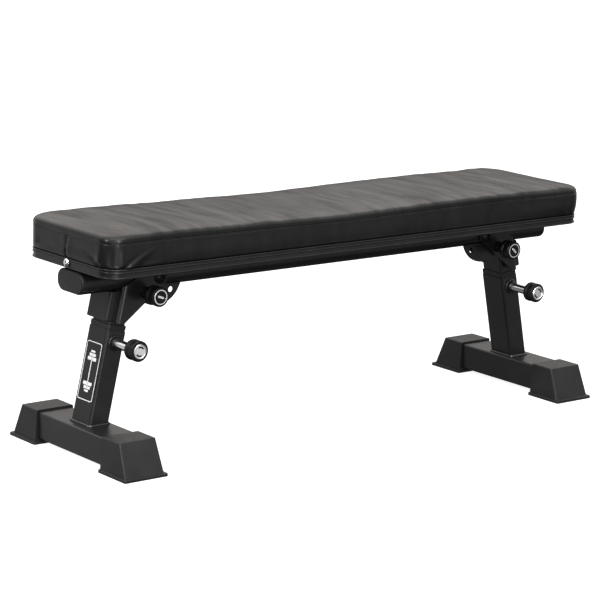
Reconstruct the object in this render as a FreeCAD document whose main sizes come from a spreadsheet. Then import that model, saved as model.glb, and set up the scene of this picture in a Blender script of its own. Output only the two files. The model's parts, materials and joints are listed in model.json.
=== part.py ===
import FreeCAD, Part
import math
import os

import Sketcher
from FreeCAD import Placement, Rotation, Vector

# Adjustable flat weight bench: a padded top on one spine tube, and two telescopic legs that
# fold in under the spine. Millimetres. X runs along the bench, Z is up, the floor is Z = 0 and
# the origin is on the floor at the middle. "near" is the -X end, "far" the +X end, "front" the
# -Y side with the pull knobs and "back" the +Y side.

SIZES = {
    # cushion, board and edging
    "pad_length": 1100,
    "pad_width": 268,
    "pad_corner": 35,
    "pad_top": 412,
    "pad_roll": 16,
    "cover_wall": 2,
    "board_bottom": 340,
    "board_height": 17,
    "trim_wall": 4,
    "trim_lip": 2.8,
    "trim_recess": 1.8,
    "trim_groove": 2.2,
    "trim_ridge": 2.6,
    "trim_round": 1.1,
    "trim_screw_radius": 8,
    "trim_screw_rise": 3.6,
    "trim_screw_shank_radius": 2.2,
    "trim_screw_shank": 18,
    "trim_screw_slot": 2.2,
    "trim_screw_slot_depth": 1.3,
    # straps and pad bolts
    "strap_length": 200,
    "strap_width": 40,
    "strap_height": 5,
    "strap_corner": 6,
    "strap_outer": 505,
    "strap_inner": 165,
    "pad_bolt_spread": 75,
    "pad_bolt_radius": 4,
    "pad_bolt_reach": 14,
    "pad_bolt_play": 0.3,
    "pad_bolt_flat": 13,
    "pad_bolt_head": 5.3,
    "pad_washer_radius": 8,
    "pad_washer_height": 1.6,
    "tee_flange_radius": 9,
    "tee_flange_height": 1.6,
    "tee_barrel_radius": 5.2,
    "tee_height": 14,
    # spine
    "spine_length": 1076,
    "spine_width": 80,
    "spine_height": 40,
    "spine_corner": 18,
    "spine_wall": 2.5,
    "cap_flange": 5,
    "cap_plug": 18,
    "cap_plug_wall": 2,
    "cap_round": 3.5,
    # pivot and fold lock
    "pivot_out": 383.5,
    "pivot_height": 314,
    "pivot_radius": 6,
    "pivot_play": 0.05,
    "sleeve_radius": 9,
    "sleeve_half": 40.7,
    "bolt_head_radius": 11,
    "bolt_head_height": 6,
    "bolt_socket_flat": 8,
    "bolt_socket_depth": 4,
    "bolt_point": 1,
    "washer_radius": 12,
    "washer_height": 1.2,
    "nut_flat": 19,
    "nut_height": 10,
    "nut_crown": 12.2,
    "bolt_tail": 3,
    "lock_plate_radius": 52,
    "lock_plate_outer": 35,
    "lock_plate_wall": 3,
    "lock_plate_top": 303,
    "lock_radius": 39.3,
    "lock_angle": -37.5,
    "fold_angle": 100,
    "lock_hole": 5.3,
    # legs
    "leg_tilt": 12,
    "leg_foot_out": 497.9,
    "leg_foot_height": 60,
    "outer_depth": 40,
    "outer_width": 60,
    "outer_corner": 5,
    "outer_wall": 1.5,
    "outer_top": 167.5,
    "inner_depth": 34,
    "inner_width": 54,
    "inner_corner": 3.5,
    "inner_wall": 2,
    "inner_bottom": 28,
    "inner_top": 233,
    "height_hole_pitch": 20,
    "height_holes": 5,
    "height_hole": 5.3,
    "bush_flange": 10.5,
    "bush_inset": 0.7,
    "bush_depth": 34.5,
    "bush_rim": 1.5,
    "bush_gap": 2,
    "bush_play": 0.3,
    "glide_length": 16,
    "glide_skirt": 4,
    "glide_play": 0.25,
    # leg bracket
    "bracket_face": 28.8,
    "bracket_wall": 3,
    "bracket_gap": 0.3,
    "bracket_foot": 182.3,
    "bracket_bend": 3.5,
    "bracket_inside_bend": 2,
    "shoulder_bend": 9,
    "shoulder_inside_bend": 3.5,
    "bracket_round": 5,
    "channel_half": 31,
    "channel_wall": 2.6,
    "cheek_inner": 41,
    "cheek_edge": 12,
    "cheek_toe": -1.5,
    "cheek_shoulder": 246,
    "cheek_eye": 15.4,
    "cheek_peak_across": -30,
    "cheek_peak_along": 282,
    "spine_clearance": 0.3,
    # fold pull pin, sizes along its axis counted from the bench's middle plane
    "housing_start": 38,
    "housing_end": 72,
    "housing_radius": 7,
    "housing_hex_reach": 11,
    "housing_hex_height": 7,
    "chamber_radius": 5.2,
    "chamber_end": 62,
    "rod_radius": 3,
    "rod_play": 0.1,
    "pin_radius": 5,
    "fold_pin_tip": 35.6,
    "fold_pin_shoulder": 48,
    "fold_knob_start": 66,
    "fold_knob_end": 91,
    "fold_knob_radius": 17.5,
    "knob_bore_play": 0.6,
    "fold_knob_bore": 15,
    "knob_edge": 1.4,
    "knob_waist": 1.5,
    "knob_face": 4,
    "pin_nose": 1.2,
    # height pull pin
    "height_pin_along": 146.5,
    "boss_radius": 11.5,
    "boss_end": 39,
    "boss_edge": 1.5,
    "barrel_radius": 8.6,
    "barrel_end": 84,
    "barrel_edge": 1.2,
    "height_chamber_end": 72,
    "height_pin_tip": 27.6,
    "height_pin_shoulder": 60,
    "height_knob_start": 84,
    "height_knob_end": 106,
    "height_knob_radius": 18.5,
    "height_knob_bore": 10,
    "knob_cap_radius": 13,
    "knob_cap_height": 2,
    "knob_cap_rim": 1.6,
    "knob_cap_sink": 0.7,
    "spring_wire": 0.5,
    "spring_radius": 4.1,
    "spring_pitch": 2.6,
    "spring_end_gap": 0.65,
    # base
    "cross_out": 503.5,
    "cross_width": 70,
    "cross_height": 50,
    "cross_corner": 4,
    "cross_wall": 2.5,
    "cross_bottom": 9,
    "cross_half": 150,
    "foot_inner": 104,
    "foot_top_outer": 156,
    "foot_base_outer": 180,
    "foot_top_half": 38,
    "foot_base_half": 41.5,
    "foot_top": 62.5,
    "foot_flange_half": 45,
    "foot_flange_inner": 101,
    "foot_flange_outer": 186,
    "foot_flange_height": 5.5,
    "foot_edge": 4,
    "foot_flange_edge": 1.6,
    # label plate
    "label_half": 24.5,
    "label_bottom": 35,
    "label_top": 142,
    "label_corner": 4,
    "label_wall": 0.4,
}

doc = FreeCAD.newDocument("weight_bench")
sheet = doc.addObject("Spreadsheet::Sheet", "Sizes")
for row, (alias, number) in enumerate(SIZES.items(), start=1):
    sheet.set(f"A{row}", alias)
    sheet.set(f"B{row}", str(number))
    sheet.setAlias(f"B{row}", alias)
doc.recompute()


class Size:
    """A length or angle with its value and the spreadsheet expression that gives it."""

    def __init__(self, value, text):
        self.value = float(value)
        self.text = text

    def __add__(self, other):
        other = as_size(other)
        return Size(self.value + other.value, f"({self.text} + {other.text})")

    def __sub__(self, other):
        other = as_size(other)
        return Size(self.value - other.value, f"({self.text} - {other.text})")

    def __mul__(self, other):
        other = as_size(other)
        return Size(self.value * other.value, f"({self.text} * {other.text})")

    def __truediv__(self, other):
        other = as_size(other)
        return Size(self.value / other.value, f"({self.text} / {other.text})")

    def __neg__(self):
        return Size(-self.value, f"(0 - {self.text})")

    def sine(self):
        return Size(math.sin(math.radians(self.value)), f"sin({self.text} * 1 deg)")

    def cosine(self):
        return Size(math.cos(math.radians(self.value)), f"cos({self.text} * 1 deg)")


def as_size(number):
    return number if isinstance(number, Size) else Size(number, repr(float(number)))


def size(alias):
    return Size(SIZES[alias], f"Sizes.{alias}")


def bind(target, prop, length):
    """Gives a property its value and ties it to the sheet."""
    length = as_size(length)
    target.setExpression(prop, length.text)


# --- sketch and feature helpers ---------------------------------------------------------------

ZERO = as_size(0)
finished = []


def new_body(label):
    body = doc.addObject("PartDesign::Body", label)
    body.Label = label
    return body


def sketch_on(body, role, offset=ZERO):
    """A sketch on one of the body's own origin planes, moved along the plane's normal."""
    plane = next(item for item in body.Origin.OriginFeatures if item.Role == role)
    sketch = body.newObject("Sketcher::SketchObject", f"{body.Name}_sketch")
    sketch.AttachmentSupport = [(plane, "")]
    sketch.MapMode = "FlatFace"
    if offset.value:
        sketch.AttachmentOffset = Placement(Vector(0, 0, offset.value), Rotation())
        bind(sketch, "AttachmentOffset.Base.z", offset)
    return sketch


def pin_point(sketch, geometry, point, across, along):
    """Fixes one point of a sketch at two sizes from the sketch's origin."""
    for kind, axis, length in (("DistanceX", -2, across), ("DistanceY", -1, along)):
        if length.value == 0:
            sketch.addConstraint(Sketcher.Constraint("PointOnObject", geometry, point, axis))
            continue
        rule = Sketcher.Constraint(kind, -1, 1, geometry, point, length.value)
        index = sketch.addConstraint(rule)
        bind(sketch, f"Constraints[{index}]", length)


def polygon(sketch, corners):
    """A closed outline of straight lines through corners given as pairs of sizes."""
    corners = [(as_size(across), as_size(along)) for across, along in corners]
    first = sketch.GeometryCount
    count = len(corners)
    spots = [Vector(across.value, along.value, 0) for across, along in corners]
    for index in range(count):
        sketch.addGeometry(Part.LineSegment(spots[index], spots[(index + 1) % count]), False)
    for index in range(count):
        after = first + (index + 1) % count
        sketch.addConstraint(Sketcher.Constraint("Coincident", first + index, 2, after, 1))
    for index, (across, along) in enumerate(corners):
        pin_point(sketch, first + index, 1, across, along)


def rectangle(sketch, left, right, bottom, top):
    polygon(sketch, [(left, bottom), (right, bottom), (right, top), (left, top)])


def rounded(sketch, width, height, corner):
    """A rectangle about the sketch's origin with round corners."""
    right, top, radius = width / 2, height / 2, corner
    inner_x, inner_y = (right - radius).value, (top - radius).value
    first = sketch.GeometryCount
    starts = [(-1, -1), (1, -1), (1, 1), (-1, 1)]
    for side, (sign_x, sign_y) in enumerate(starts):
        after_x, after_y = starts[(side + 1) % 4]
        if side % 2 == 0:
            begin = Vector(sign_x * inner_x, sign_y * top.value, 0)
            finish = Vector(after_x * inner_x, after_y * top.value, 0)
        else:
            begin = Vector(sign_x * right.value, sign_y * inner_y, 0)
            finish = Vector(after_x * right.value, after_y * inner_y, 0)
        sketch.addGeometry(Part.LineSegment(begin, finish), False)
        middle = Vector(after_x * inner_x, after_y * inner_y, 0)
        ring = Part.Circle(middle, Vector(0, 0, 1), radius.value)
        begin_angle = math.radians(-90 + 90 * side)
        arc = Part.ArcOfCircle(ring, begin_angle, begin_angle + math.pi / 2)
        sketch.addGeometry(arc, False)
    for number in range(8):
        after = first + (number + 1) % 8
        sketch.addConstraint(Sketcher.Constraint("Tangent", first + number, 2, after, 1))
    for number, kind in ((0, "Horizontal"), (2, "Vertical"), (4, "Horizontal"), (6, "Vertical")):
        sketch.addConstraint(Sketcher.Constraint(kind, first + number))
    for number in (3, 5, 7):
        sketch.addConstraint(Sketcher.Constraint("Equal", first + 1, first + number))
    index = sketch.addConstraint(Sketcher.Constraint("Radius", first + 1, radius.value))
    bind(sketch, f"Constraints[{index}]", radius)
    walls = (
        (0, "DistanceY", -top),
        (2, "DistanceX", right),
        (4, "DistanceY", top),
        (6, "DistanceX", -right),
    )
    for number, kind, reach in walls:
        rule = Sketcher.Constraint(kind, -1, 1, first + number, 1, reach.value)
        index = sketch.addConstraint(rule)
        bind(sketch, f"Constraints[{index}]", reach)


def centred(sketch, width, height):
    rectangle(sketch, -(width / 2), width / 2, -(height / 2), height / 2)


def circle(sketch, across, along, radius):
    across, along, radius = as_size(across), as_size(along), as_size(radius)
    shape = Part.Circle(Vector(across.value, along.value, 0), Vector(0, 0, 1), radius.value)
    geometry = sketch.addGeometry(shape, False)
    pin_point(sketch, geometry, 3, across, along)
    index = sketch.addConstraint(Sketcher.Constraint("Radius", geometry, radius.value))
    bind(sketch, f"Constraints[{index}]", radius)


def pad(body, sketch, length):
    feature = body.newObject("PartDesign::Pad", f"{body.Name}_pad")
    feature.Profile = sketch
    bind(feature, "Length", length)
    doc.recompute()
    return feature


def pocket(body, sketch, length, along_normal):
    """Cuts a sketch out of a body, and stops if the cut removes nothing."""
    before = body.Tip.Shape.Volume
    feature = body.newObject("PartDesign::Pocket", f"{body.Name}_pocket")
    feature.Profile = sketch
    feature.Reversed = along_normal
    bind(feature, "Length", length)
    doc.recompute()
    if feature.Shape.Volume > before - 0.01:
        raise RuntimeError(f"a pocket in {body.Label} cuts nothing")
    return feature


def fillet(body, radius, wanted):
    """Rounds the edges that the function wanted picks."""
    base = body.Tip
    edges = [f"Edge{n}" for n, edge in enumerate(base.Shape.Edges, start=1) if wanted(edge)]
    if not edges:
        raise RuntimeError(f"a fillet in {body.Label} finds no edge")
    feature = body.newObject("PartDesign::Fillet", f"{body.Name}_fillet")
    feature.Base = (base, edges)
    bind(feature, "Radius", radius)
    doc.recompute()
    return feature


def runs_along(axis, spots):
    """Picks straight edges parallel to an axis (0, 1 or 2) through any of some spots."""
    others = [n for n in range(3) if n != axis]

    def wanted(edge):
        box = edge.BoundBox
        low = (box.XMin, box.YMin, box.ZMin)
        high = (box.XMax, box.YMax, box.ZMax)
        if high[axis] - low[axis] < 0.2:
            return False
        if any(high[n] - low[n] > 0.01 for n in others):
            return False
        spot = [low[n] for n in others]
        return any(math.dist(spot, place) < 0.02 for place in spots)

    return wanted


def four_corners(half_width, half_height):
    width, height = half_width.value, half_height.value
    return [(a * width, b * height) for a in (-1, 1) for b in (-1, 1)]


def turned(label, outline):
    """A piece turned about its Z axis from an outline of (radius, height) corners."""
    body = new_body(label)
    sketch = sketch_on(body, "XZ_Plane")
    polygon(sketch, outline)
    feature = body.newObject("PartDesign::Revolution", f"{label}_turn")
    feature.Profile = sketch
    feature.ReferenceAxis = (sketch, ["V_Axis"])
    feature.Angle = 360
    doc.recompute()
    return body


def tube(label, width, height, wall, corner, start, length):
    """A straight rounded rectangular tube along Z."""
    body = new_body(label)
    sketch = sketch_on(body, "XY_Plane", start)
    rounded(sketch, width, height, corner)
    rounded(sketch, width - wall * 2, height - wall * 2, corner - wall)
    pad(body, sketch, length)
    return body


def move(item, out=ZERO, across=ZERO, up=ZERO, rotation=None):
    """Moves a piece to its place and ties the place to the sheet."""
    spot = Vector(as_size(out).value, as_size(across).value, as_size(up).value)
    item.Placement = Placement(spot, rotation or Rotation())
    for name, length in (("x", out), ("y", across), ("z", up)):
        if as_size(length).value:
            bind(item, f"Placement.Base.{name}", length)


def place(item, out=ZERO, across=ZERO, up=ZERO, rotation=None):
    """Moves a piece to its place and counts it as one of the bench's own pieces."""
    move(item, out, across, up, rotation)
    finished.append(item)


def group(label, shapes):
    """Identical small pieces kept as one node of separate solids."""
    item = doc.addObject("Part::Feature", label)
    item.Label = label
    item.Shape = Part.makeCompound(shapes)
    item.Placement = Placement()
    finished.append(item)


# Turns a piece's own +Z to the bench's -Y.
TO_FRONT = Rotation(Vector(1, 0, 0), 90)


# --- cushion, board and edging ----------------------------------------------------------------

cushion_bottom = size("board_bottom") + size("board_height")


def rounded_block(label, length, width, corner, bottom, height):
    body = new_body(label)
    sketch = sketch_on(body, "XY_Plane", bottom)
    rounded(sketch, length, width, corner)
    pad(body, sketch, height)
    return body


def flat_at(height):
    """Picks every edge that lies wholly at one height."""

    def wanted(edge):
        box = edge.BoundBox
        return abs(box.ZMin - height) < 0.01 and abs(box.ZMax - height) < 0.01

    return wanted


def cushion_block(label, inset):
    """The cushion's rounded form, inset all round and on top."""
    length, width = size("pad_length") - inset * 2, size("pad_width") - inset * 2
    height = size("pad_top") - inset - cushion_bottom
    corner = size("pad_corner") - inset
    body = rounded_block(label, length, width, corner, cushion_bottom, height)
    fillet(body, size("pad_roll") - inset, flat_at((size("pad_top") - inset).value))
    return body


def pad_cover():
    """The vinyl cover, a shell that is open underneath."""
    item = doc.addObject("Part::Cut", "pad_cover")
    item.Label = "pad_cover"
    item.Base = cushion_block("pad_cover_outside", ZERO)
    item.Tool = cushion_block("pad_cover_inside", size("cover_wall"))
    doc.recompute()
    place(item)


def pad_foam():
    place(cushion_block("pad_foam", size("cover_wall")))


def pad_bolt_spots():
    """Where the eight pad bolts stand, as pairs of sizes."""
    rows = [sign * size(name).value for name in ("strap_outer", "strap_inner") for sign in (-1, 1)]
    spread = SIZES["pad_bolt_spread"]
    return [(out, side * spread) for out in rows for side in (-1, 1)]


def board_holes(body, radius, bottom, depth):
    sketch = sketch_on(body, "XY_Plane", bottom)
    for name in ("strap_outer", "strap_inner"):
        for out_sign in (-1, 1):
            for side in (-1, 1):
                circle(sketch, size(name) * out_sign, size("pad_bolt_spread") * side, radius)
    pocket(body, sketch, depth, True)


def screw_hole(body, start, depth):
    """Bores along the bench for an edging screw, at mid-height of the board."""
    sketch = sketch_on(body, "YZ_Plane", start)
    rise = size("board_bottom") + size("board_height") / 2
    circle(sketch, 0, rise, size("trim_screw_shank_radius"))
    pocket(body, sketch, depth, True)


def pad_board():
    wall = size("trim_wall")
    length, width = size("pad_length") - wall * 2, size("pad_width") - wall * 2
    corner = size("pad_corner") - wall
    height = size("board_height")
    body = rounded_block("pad_board", length, width, corner, size("board_bottom"), height)
    board_holes(body, size("tee_barrel_radius"), size("board_bottom"), height)
    flange = size("tee_flange_height")
    board_holes(body, size("tee_flange_radius"), cushion_bottom - flange, flange)
    depth = size("trim_screw_shank") + wall
    screw_hole(body, size("pad_length") / 2 - depth, depth)
    screw_hole(body, -(size("pad_length") / 2), depth)
    place(body)


def trim_band():
    """The edging strip round the board: a rounded lip along its top and bottom and a ridge between."""
    body = new_body("trim_band")
    wall, recess, lip = size("trim_wall"), size("trim_recess"), size("trim_lip")
    length, width, corner = size("pad_length"), size("pad_width"), size("pad_corner")
    bottom, top = size("board_bottom"), cushion_bottom
    groove, ridge = size("trim_groove"), size("trim_ridge")
    ridge_bottom = top - lip - groove - ridge
    steps = [
        (bottom, lip, ZERO),
        (bottom + lip, ridge_bottom - bottom - lip, recess),
        (ridge_bottom, ridge, ZERO),
        (ridge_bottom + ridge, groove, recess),
        (top - lip, lip, ZERO),
    ]
    for start, height, inset in steps:
        sketch = sketch_on(body, "XY_Plane", start)
        rounded(sketch, length - inset * 2, width - inset * 2, corner - inset)
        rounded(sketch, length - wall * 2, width - wall * 2, corner - wall)
        pad(body, sketch, height)
    reach = (length / 2).value

    def lip_edge(edge):
        box = edge.BoundBox
        starts = (bottom, bottom + lip, ridge_bottom, ridge_bottom + ridge, top - lip, top)
        levels = [start.value for start in starts]
        level = any(abs(box.ZMin - z) < 0.01 and abs(box.ZMax - z) < 0.01 for z in levels)
        middle_point = edge.valueAt((edge.FirstParameter + edge.LastParameter) / 2)
        return level and on_outline(middle_point, reach, (width / 2).value, corner.value)

    fillet(body, size("trim_round"), lip_edge)
    screw_hole(body, -length, length * 2)
    place(body)


def on_outline(point, reach, half_width, corner):
    """True where a point lies on the rounded outline of the pad's plan."""
    along = abs(point.x) - (reach - corner)
    aside = abs(point.y) - (half_width - corner)
    if along > 0 and aside > 0:
        return abs(math.hypot(along, aside) - corner) < 0.05
    return abs(abs(point.x) - reach) < 0.05 or abs(abs(point.y) - half_width) < 0.05


def trim_screws():
    """A slotted dome screw in the middle of each end, seated on the edging strip's lips."""
    radius, rise = SIZES["trim_screw_radius"], SIZES["trim_screw_rise"]
    middle = SIZES["board_bottom"] + SIZES["board_height"] / 2
    face = SIZES["pad_length"] / 2
    shank_radius, shank_length = SIZES["trim_screw_shank_radius"], SIZES["trim_screw_shank"]
    slot_width, slot_depth = SIZES["trim_screw_slot"], SIZES["trim_screw_slot_depth"]
    dome_radius = (radius**2 + rise**2) / (2 * rise)
    dome = Part.makeSphere(dome_radius, Vector(0, 0, rise - dome_radius))
    head = dome.common(Part.makeCylinder(radius, rise))
    slot = Part.makeBox(slot_width, 2 * radius, slot_depth)
    slot.translate(Vector(-slot_width / 2, -radius, rise - slot_depth))
    shank = Part.makeCylinder(shank_radius, shank_length, Vector(0, 0, -shank_length))
    screw = head.cut(slot).fuse(shank)
    shapes = []
    for sign in (-1, 1):
        copy = screw.copy()
        turn = Rotation(Vector(0, 1, 0), 90 * sign)
        copy.Placement = Placement(Vector(sign * face, 0, middle), turn)
        shapes.append(copy)
    group("trim_screws", shapes)


# --- straps, pad bolts and tee nuts -----------------------------------------------------------


def pad_strap(label, out):
    body = new_body(label)
    length, width = size("strap_length"), size("strap_width")
    sketch = sketch_on(body, "XY_Plane")
    centred(sketch, width, length)
    for side in (-1, 1):
        hole = size("pad_bolt_radius") + size("pad_bolt_play")
        circle(sketch, 0, size("pad_bolt_spread") * side, hole)
    pad(body, sketch, size("strap_height"))
    fillet(body, size("strap_corner"), runs_along(2, four_corners(width / 2, length / 2)))
    place(body, out, ZERO, size("board_bottom") - size("strap_height"))


def hexagon(flat, height):
    """A hexagonal prism standing on Z = 0, with its across-flats size."""
    across_corners = flat / math.cos(math.radians(30))
    spots = []
    for index in range(7):
        angle = math.radians(60 * index)
        spot = Vector(math.cos(angle), math.sin(angle), 0) * (across_corners / 2)
        spots.append(spot)
    return Part.Face(Part.makePolygon(spots)).extrude(Vector(0, 0, height))


def pad_bolts():
    radius = SIZES["pad_bolt_radius"]
    head_height, washer_height = SIZES["pad_bolt_head"], SIZES["pad_washer_height"]
    strap_bottom = SIZES["board_bottom"] - SIZES["strap_height"]
    reach = SIZES["strap_height"] + SIZES["pad_bolt_reach"]
    shank = Part.makeCylinder(radius, reach + washer_height)
    head = hexagon(SIZES["pad_bolt_flat"], head_height)
    head.translate(Vector(0, 0, -head_height))
    washer = Part.makeCylinder(SIZES["pad_washer_radius"], washer_height)
    bolt = shank.fuse([head, washer])
    shapes = []
    for out, side in pad_bolt_spots():
        copy = bolt.copy()
        copy.Placement = Placement(Vector(out, side, strap_bottom - washer_height), Rotation())
        shapes.append(copy)
    group("pad_bolts", shapes)


def pad_tee_nuts():
    top = SIZES["board_bottom"] + SIZES["board_height"]
    height, flange_height = SIZES["tee_height"], SIZES["tee_flange_height"]
    barrel = Part.makeCylinder(SIZES["tee_barrel_radius"], height, Vector(0, 0, -height))
    flange_spot = Vector(0, 0, -flange_height)
    flange = Part.makeCylinder(SIZES["tee_flange_radius"], flange_height, flange_spot)
    bore = Part.makeCylinder(SIZES["pad_bolt_radius"], height, Vector(0, 0, -height))
    nut = barrel.fuse(flange).cut(bore)
    shapes = []
    for out, side in pad_bolt_spots():
        copy = nut.copy()
        copy.Placement = Placement(Vector(out, side, top), Rotation())
        shapes.append(copy)
    group("pad_tee_nuts", shapes)


# --- spine ------------------------------------------------------------------------------------

spine_middle = size("board_bottom") - size("strap_height") - size("spine_height") / 2
# Turns a piece's own Z to the bench's X, its X to Y and its Y to Z.
END_ON = Rotation(Vector(1, 1, 1), 120)


def spine_tube():
    length = size("spine_length")
    width, height = size("spine_width"), size("spine_height")
    wall, corner = size("spine_wall"), size("spine_corner")
    body = tube("spine_tube", width, height, wall, corner, -(length / 2), length)
    sketch = sketch_on(body, "YZ_Plane", -(width / 2))
    for sign in (-1, 1):
        pivot_rise = size("pivot_height") - spine_middle
        circle(sketch, pivot_rise, size("pivot_out") * sign, size("sleeve_radius"))
    pocket(body, sketch, width, True)
    place(body, ZERO, ZERO, spine_middle, END_ON)


def spine_cap(label, sign):
    """A plastic cap: a rounded end flange and a hollow plug inside the tube."""
    body = new_body(label)
    width, height = size("spine_width"), size("spine_height")
    corner, wall = size("spine_corner"), size("spine_wall")
    flange = size("cap_flange")
    sketch = sketch_on(body, "XY_Plane")
    rounded(sketch, width, height, corner)
    pad(body, sketch, flange)
    fillet(body, size("cap_round"), flat_at(SIZES["cap_flange"]))
    plug = sketch_on(body, "XY_Plane", -size("cap_plug"))
    inset = wall + size("cap_plug_wall")
    rounded(plug, width - wall * 2, height - wall * 2, corner - wall)
    rounded(plug, width - inset * 2, height - inset * 2, corner - inset)
    pad(body, plug, size("cap_plug"))
    end = size("spine_length") / 2
    turn = END_ON if sign > 0 else Rotation(Vector(0, 0, 1), 180).multiply(END_ON)
    place(body, end * sign, ZERO, spine_middle, turn)


def lock_angles():
    """The lock holes' directions about the pivot: leg open, then leg folded."""
    return (size("lock_angle"), size("lock_angle") - size("fold_angle"))


def lock_plate(label, sign):
    """A disc-edged plate under the spine's front side, with the two lock holes."""
    wall, radius = size("lock_plate_wall"), size("lock_plate_radius")
    disc = doc.addObject("Part::Cylinder", f"{label}_disc")
    bind(disc, "Radius", radius)
    bind(disc, "Height", wall)
    keep = doc.addObject("Part::Box", f"{label}_keep")
    for name, length in (("Length", radius * 2), ("Width", radius * 2), ("Height", wall)):
        bind(keep, name, length)
    drop = size("lock_plate_top") - size("pivot_height")
    place_inside(keep, -radius, drop - radius * 2)
    blank = doc.addObject("Part::Common", f"{label}_blank")
    blank.Base = disc
    blank.Tool = keep
    cutters = [spine_cutter(label)]
    for number, angle in enumerate(lock_angles()):
        hole = doc.addObject("Part::Cylinder", f"{label}_hole{number}")
        bind(hole, "Radius", size("lock_hole"))
        bind(hole, "Height", wall)
        across = size("lock_radius") * angle.cosine() * sign
        place_inside(hole, across, size("lock_radius") * angle.sine())
        cutters.append(hole)
    tool = doc.addObject("Part::MultiFuse", f"{label}_cutters")
    tool.Shapes = cutters
    item = doc.addObject("Part::Cut", label)
    item.Label = label
    item.Base = blank
    item.Tool = tool
    doc.recompute()
    inner_face = size("lock_plate_outer") - wall
    place(item, size("pivot_out") * sign, -inner_face, size("pivot_height"), TO_FRONT)


def place_inside(item, across, along):
    """Puts a helper solid of a flat plate at its place in the plate's own plane."""
    item.Placement = Placement(Vector(across.value, along.value, 0), Rotation())
    bind(item, "Placement.Base.x", across)
    bind(item, "Placement.Base.y", along)


def spine_cutter(label):
    """The part of the spine's section that a lock plate's top edge hugs."""
    box = doc.addObject("Part::Box", f"{label}_spine")
    reach = size("lock_plate_radius") * 2
    bind(box, "Length", reach)
    bind(box, "Width", size("spine_height"))
    bind(box, "Height", size("lock_plate_wall"))
    corner, outer = size("spine_corner"), size("lock_plate_outer")
    aside = outer - size("lock_plate_wall") - (size("spine_width") / 2 - corner)
    drop = Size(
        math.sqrt(corner.value**2 - aside.value**2),
        f"sqrt({corner.text} ^ 2 - {aside.text} ^ 2)",
    )
    underside = spine_middle - size("spine_height") / 2 + corner - drop
    place_inside(box, -size("lock_plate_radius"), underside - size("pivot_height"))
    return box


# --- pivots -----------------------------------------------------------------------------------


def pivot_sleeves():
    radius, half = SIZES["sleeve_radius"], SIZES["sleeve_half"]
    bore = SIZES["pivot_radius"] + SIZES["pivot_play"]
    ring = Part.makeCylinder(radius, 2 * half, Vector(0, 0, -half))
    ring = ring.cut(Part.makeCylinder(bore, 2 * half, Vector(0, 0, -half)))
    group("pivot_sleeves", at_pivots(ring))


def at_pivots(shape):
    shapes = []
    for sign in (-1, 1):
        copy = shape.copy()
        spot = Vector(sign * SIZES["pivot_out"], 0, SIZES["pivot_height"])
        copy.Placement = Placement(spot, TO_FRONT).multiply(shape.Placement)
        shapes.append(copy)
    return shapes


def washer_faces():
    """The inner and outer distance of the pivot washers from the middle plane."""
    cheek_outer = SIZES["cheek_inner"] + SIZES["bracket_wall"]
    inner = cheek_outer + SIZES["bracket_gap"]
    return inner, inner + SIZES["washer_height"]


def pivot_bolts():
    _, seat = washer_faces()
    radius, height = SIZES["bolt_head_radius"], SIZES["bolt_head_height"]
    socket_depth = SIZES["bolt_socket_depth"]
    tail = seat + SIZES["nut_height"] + SIZES["bolt_tail"]
    shank = Part.makeCylinder(SIZES["pivot_radius"], seat + tail, Vector(0, 0, -tail))
    shank = shank.makeChamfer(SIZES["bolt_point"], [shank.Edges[2]])
    dome_radius = (radius**2 + height**2) / (2 * height)
    dome = Part.makeSphere(dome_radius, Vector(0, 0, seat + height - dome_radius))
    head = dome.common(Part.makeCylinder(radius, height, Vector(0, 0, seat)))
    socket = hexagon(SIZES["bolt_socket_flat"], socket_depth)
    socket.translate(Vector(0, 0, seat + height - socket_depth))
    bolt = shank.fuse(head).cut(socket)
    group("pivot_bolts", at_pivots(bolt))


def pivot_nuts():
    _, seat = washer_faces()
    nut = hexagon(SIZES["nut_flat"], SIZES["nut_height"])
    nut = nut.cut(Part.makeCylinder(SIZES["pivot_radius"], SIZES["nut_height"]))
    crown = Part.makeSphere(SIZES["nut_crown"], Vector(0, 0, SIZES["nut_height"] / 2))
    nut = nut.common(crown)
    nut.translate(Vector(0, 0, -seat - SIZES["nut_height"]))
    group("pivot_nuts", at_pivots(nut))


def pivot_washers():
    inner, _ = washer_faces()
    height = SIZES["washer_height"]
    shapes = []
    for low in (inner, -inner - height):
        ring = Part.makeCylinder(SIZES["washer_radius"], height, Vector(0, 0, low))
        hole = Part.makeCylinder(SIZES["pivot_radius"], height, Vector(0, 0, low))
        shapes += at_pivots(ring.cut(hole))
    group("pivot_washers", shapes)


# --- legs -------------------------------------------------------------------------------------
# A leg piece is drawn in the leg's own frame: X points outwards from the bench, Z up the leg,
# and the origin is where the leg's centre line meets the cross tube. The pull pins are on the
# +Y side of that frame on the near leg and on its -Y side on the far leg.

tilt = size("leg_tilt")


def move_to_leg(item, sign):
    turn = Rotation(180 if sign < 0 else 0, -SIZES["leg_tilt"], 0)
    move(item, size("leg_foot_out") * sign, ZERO, size("leg_foot_height"), turn)


def place_on_leg(item, sign):
    move_to_leg(item, sign)
    finished.append(item)


def leg_spot(out, up):
    """Turns a place of the far leg, (out, up) from the bench's origin, into the leg's frame."""
    away = as_size(out) - size("leg_foot_out")
    rise = as_size(up) - size("leg_foot_height")
    across = away * tilt.cosine() + rise * tilt.sine()
    along = rise * tilt.cosine() - away * tilt.sine()
    return across, along


def level_height(across, up):
    """How far up the leg a level plane at height up lies, at a distance across the leg."""
    rise = as_size(up) - size("leg_foot_height")
    return (rise - as_size(across) * tilt.sine()) / tilt.cosine()


def drill(body, sign, spots, radius, depth):
    """Drills holes at (across, along) places of a leg piece, on the side of the pull pins."""
    sketch = sketch_on(body, "XZ_Plane", -depth if sign < 0 else ZERO)
    for across, along in spots:
        circle(sketch, across, along, radius)
    pocket(body, sketch, depth, True)


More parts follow.
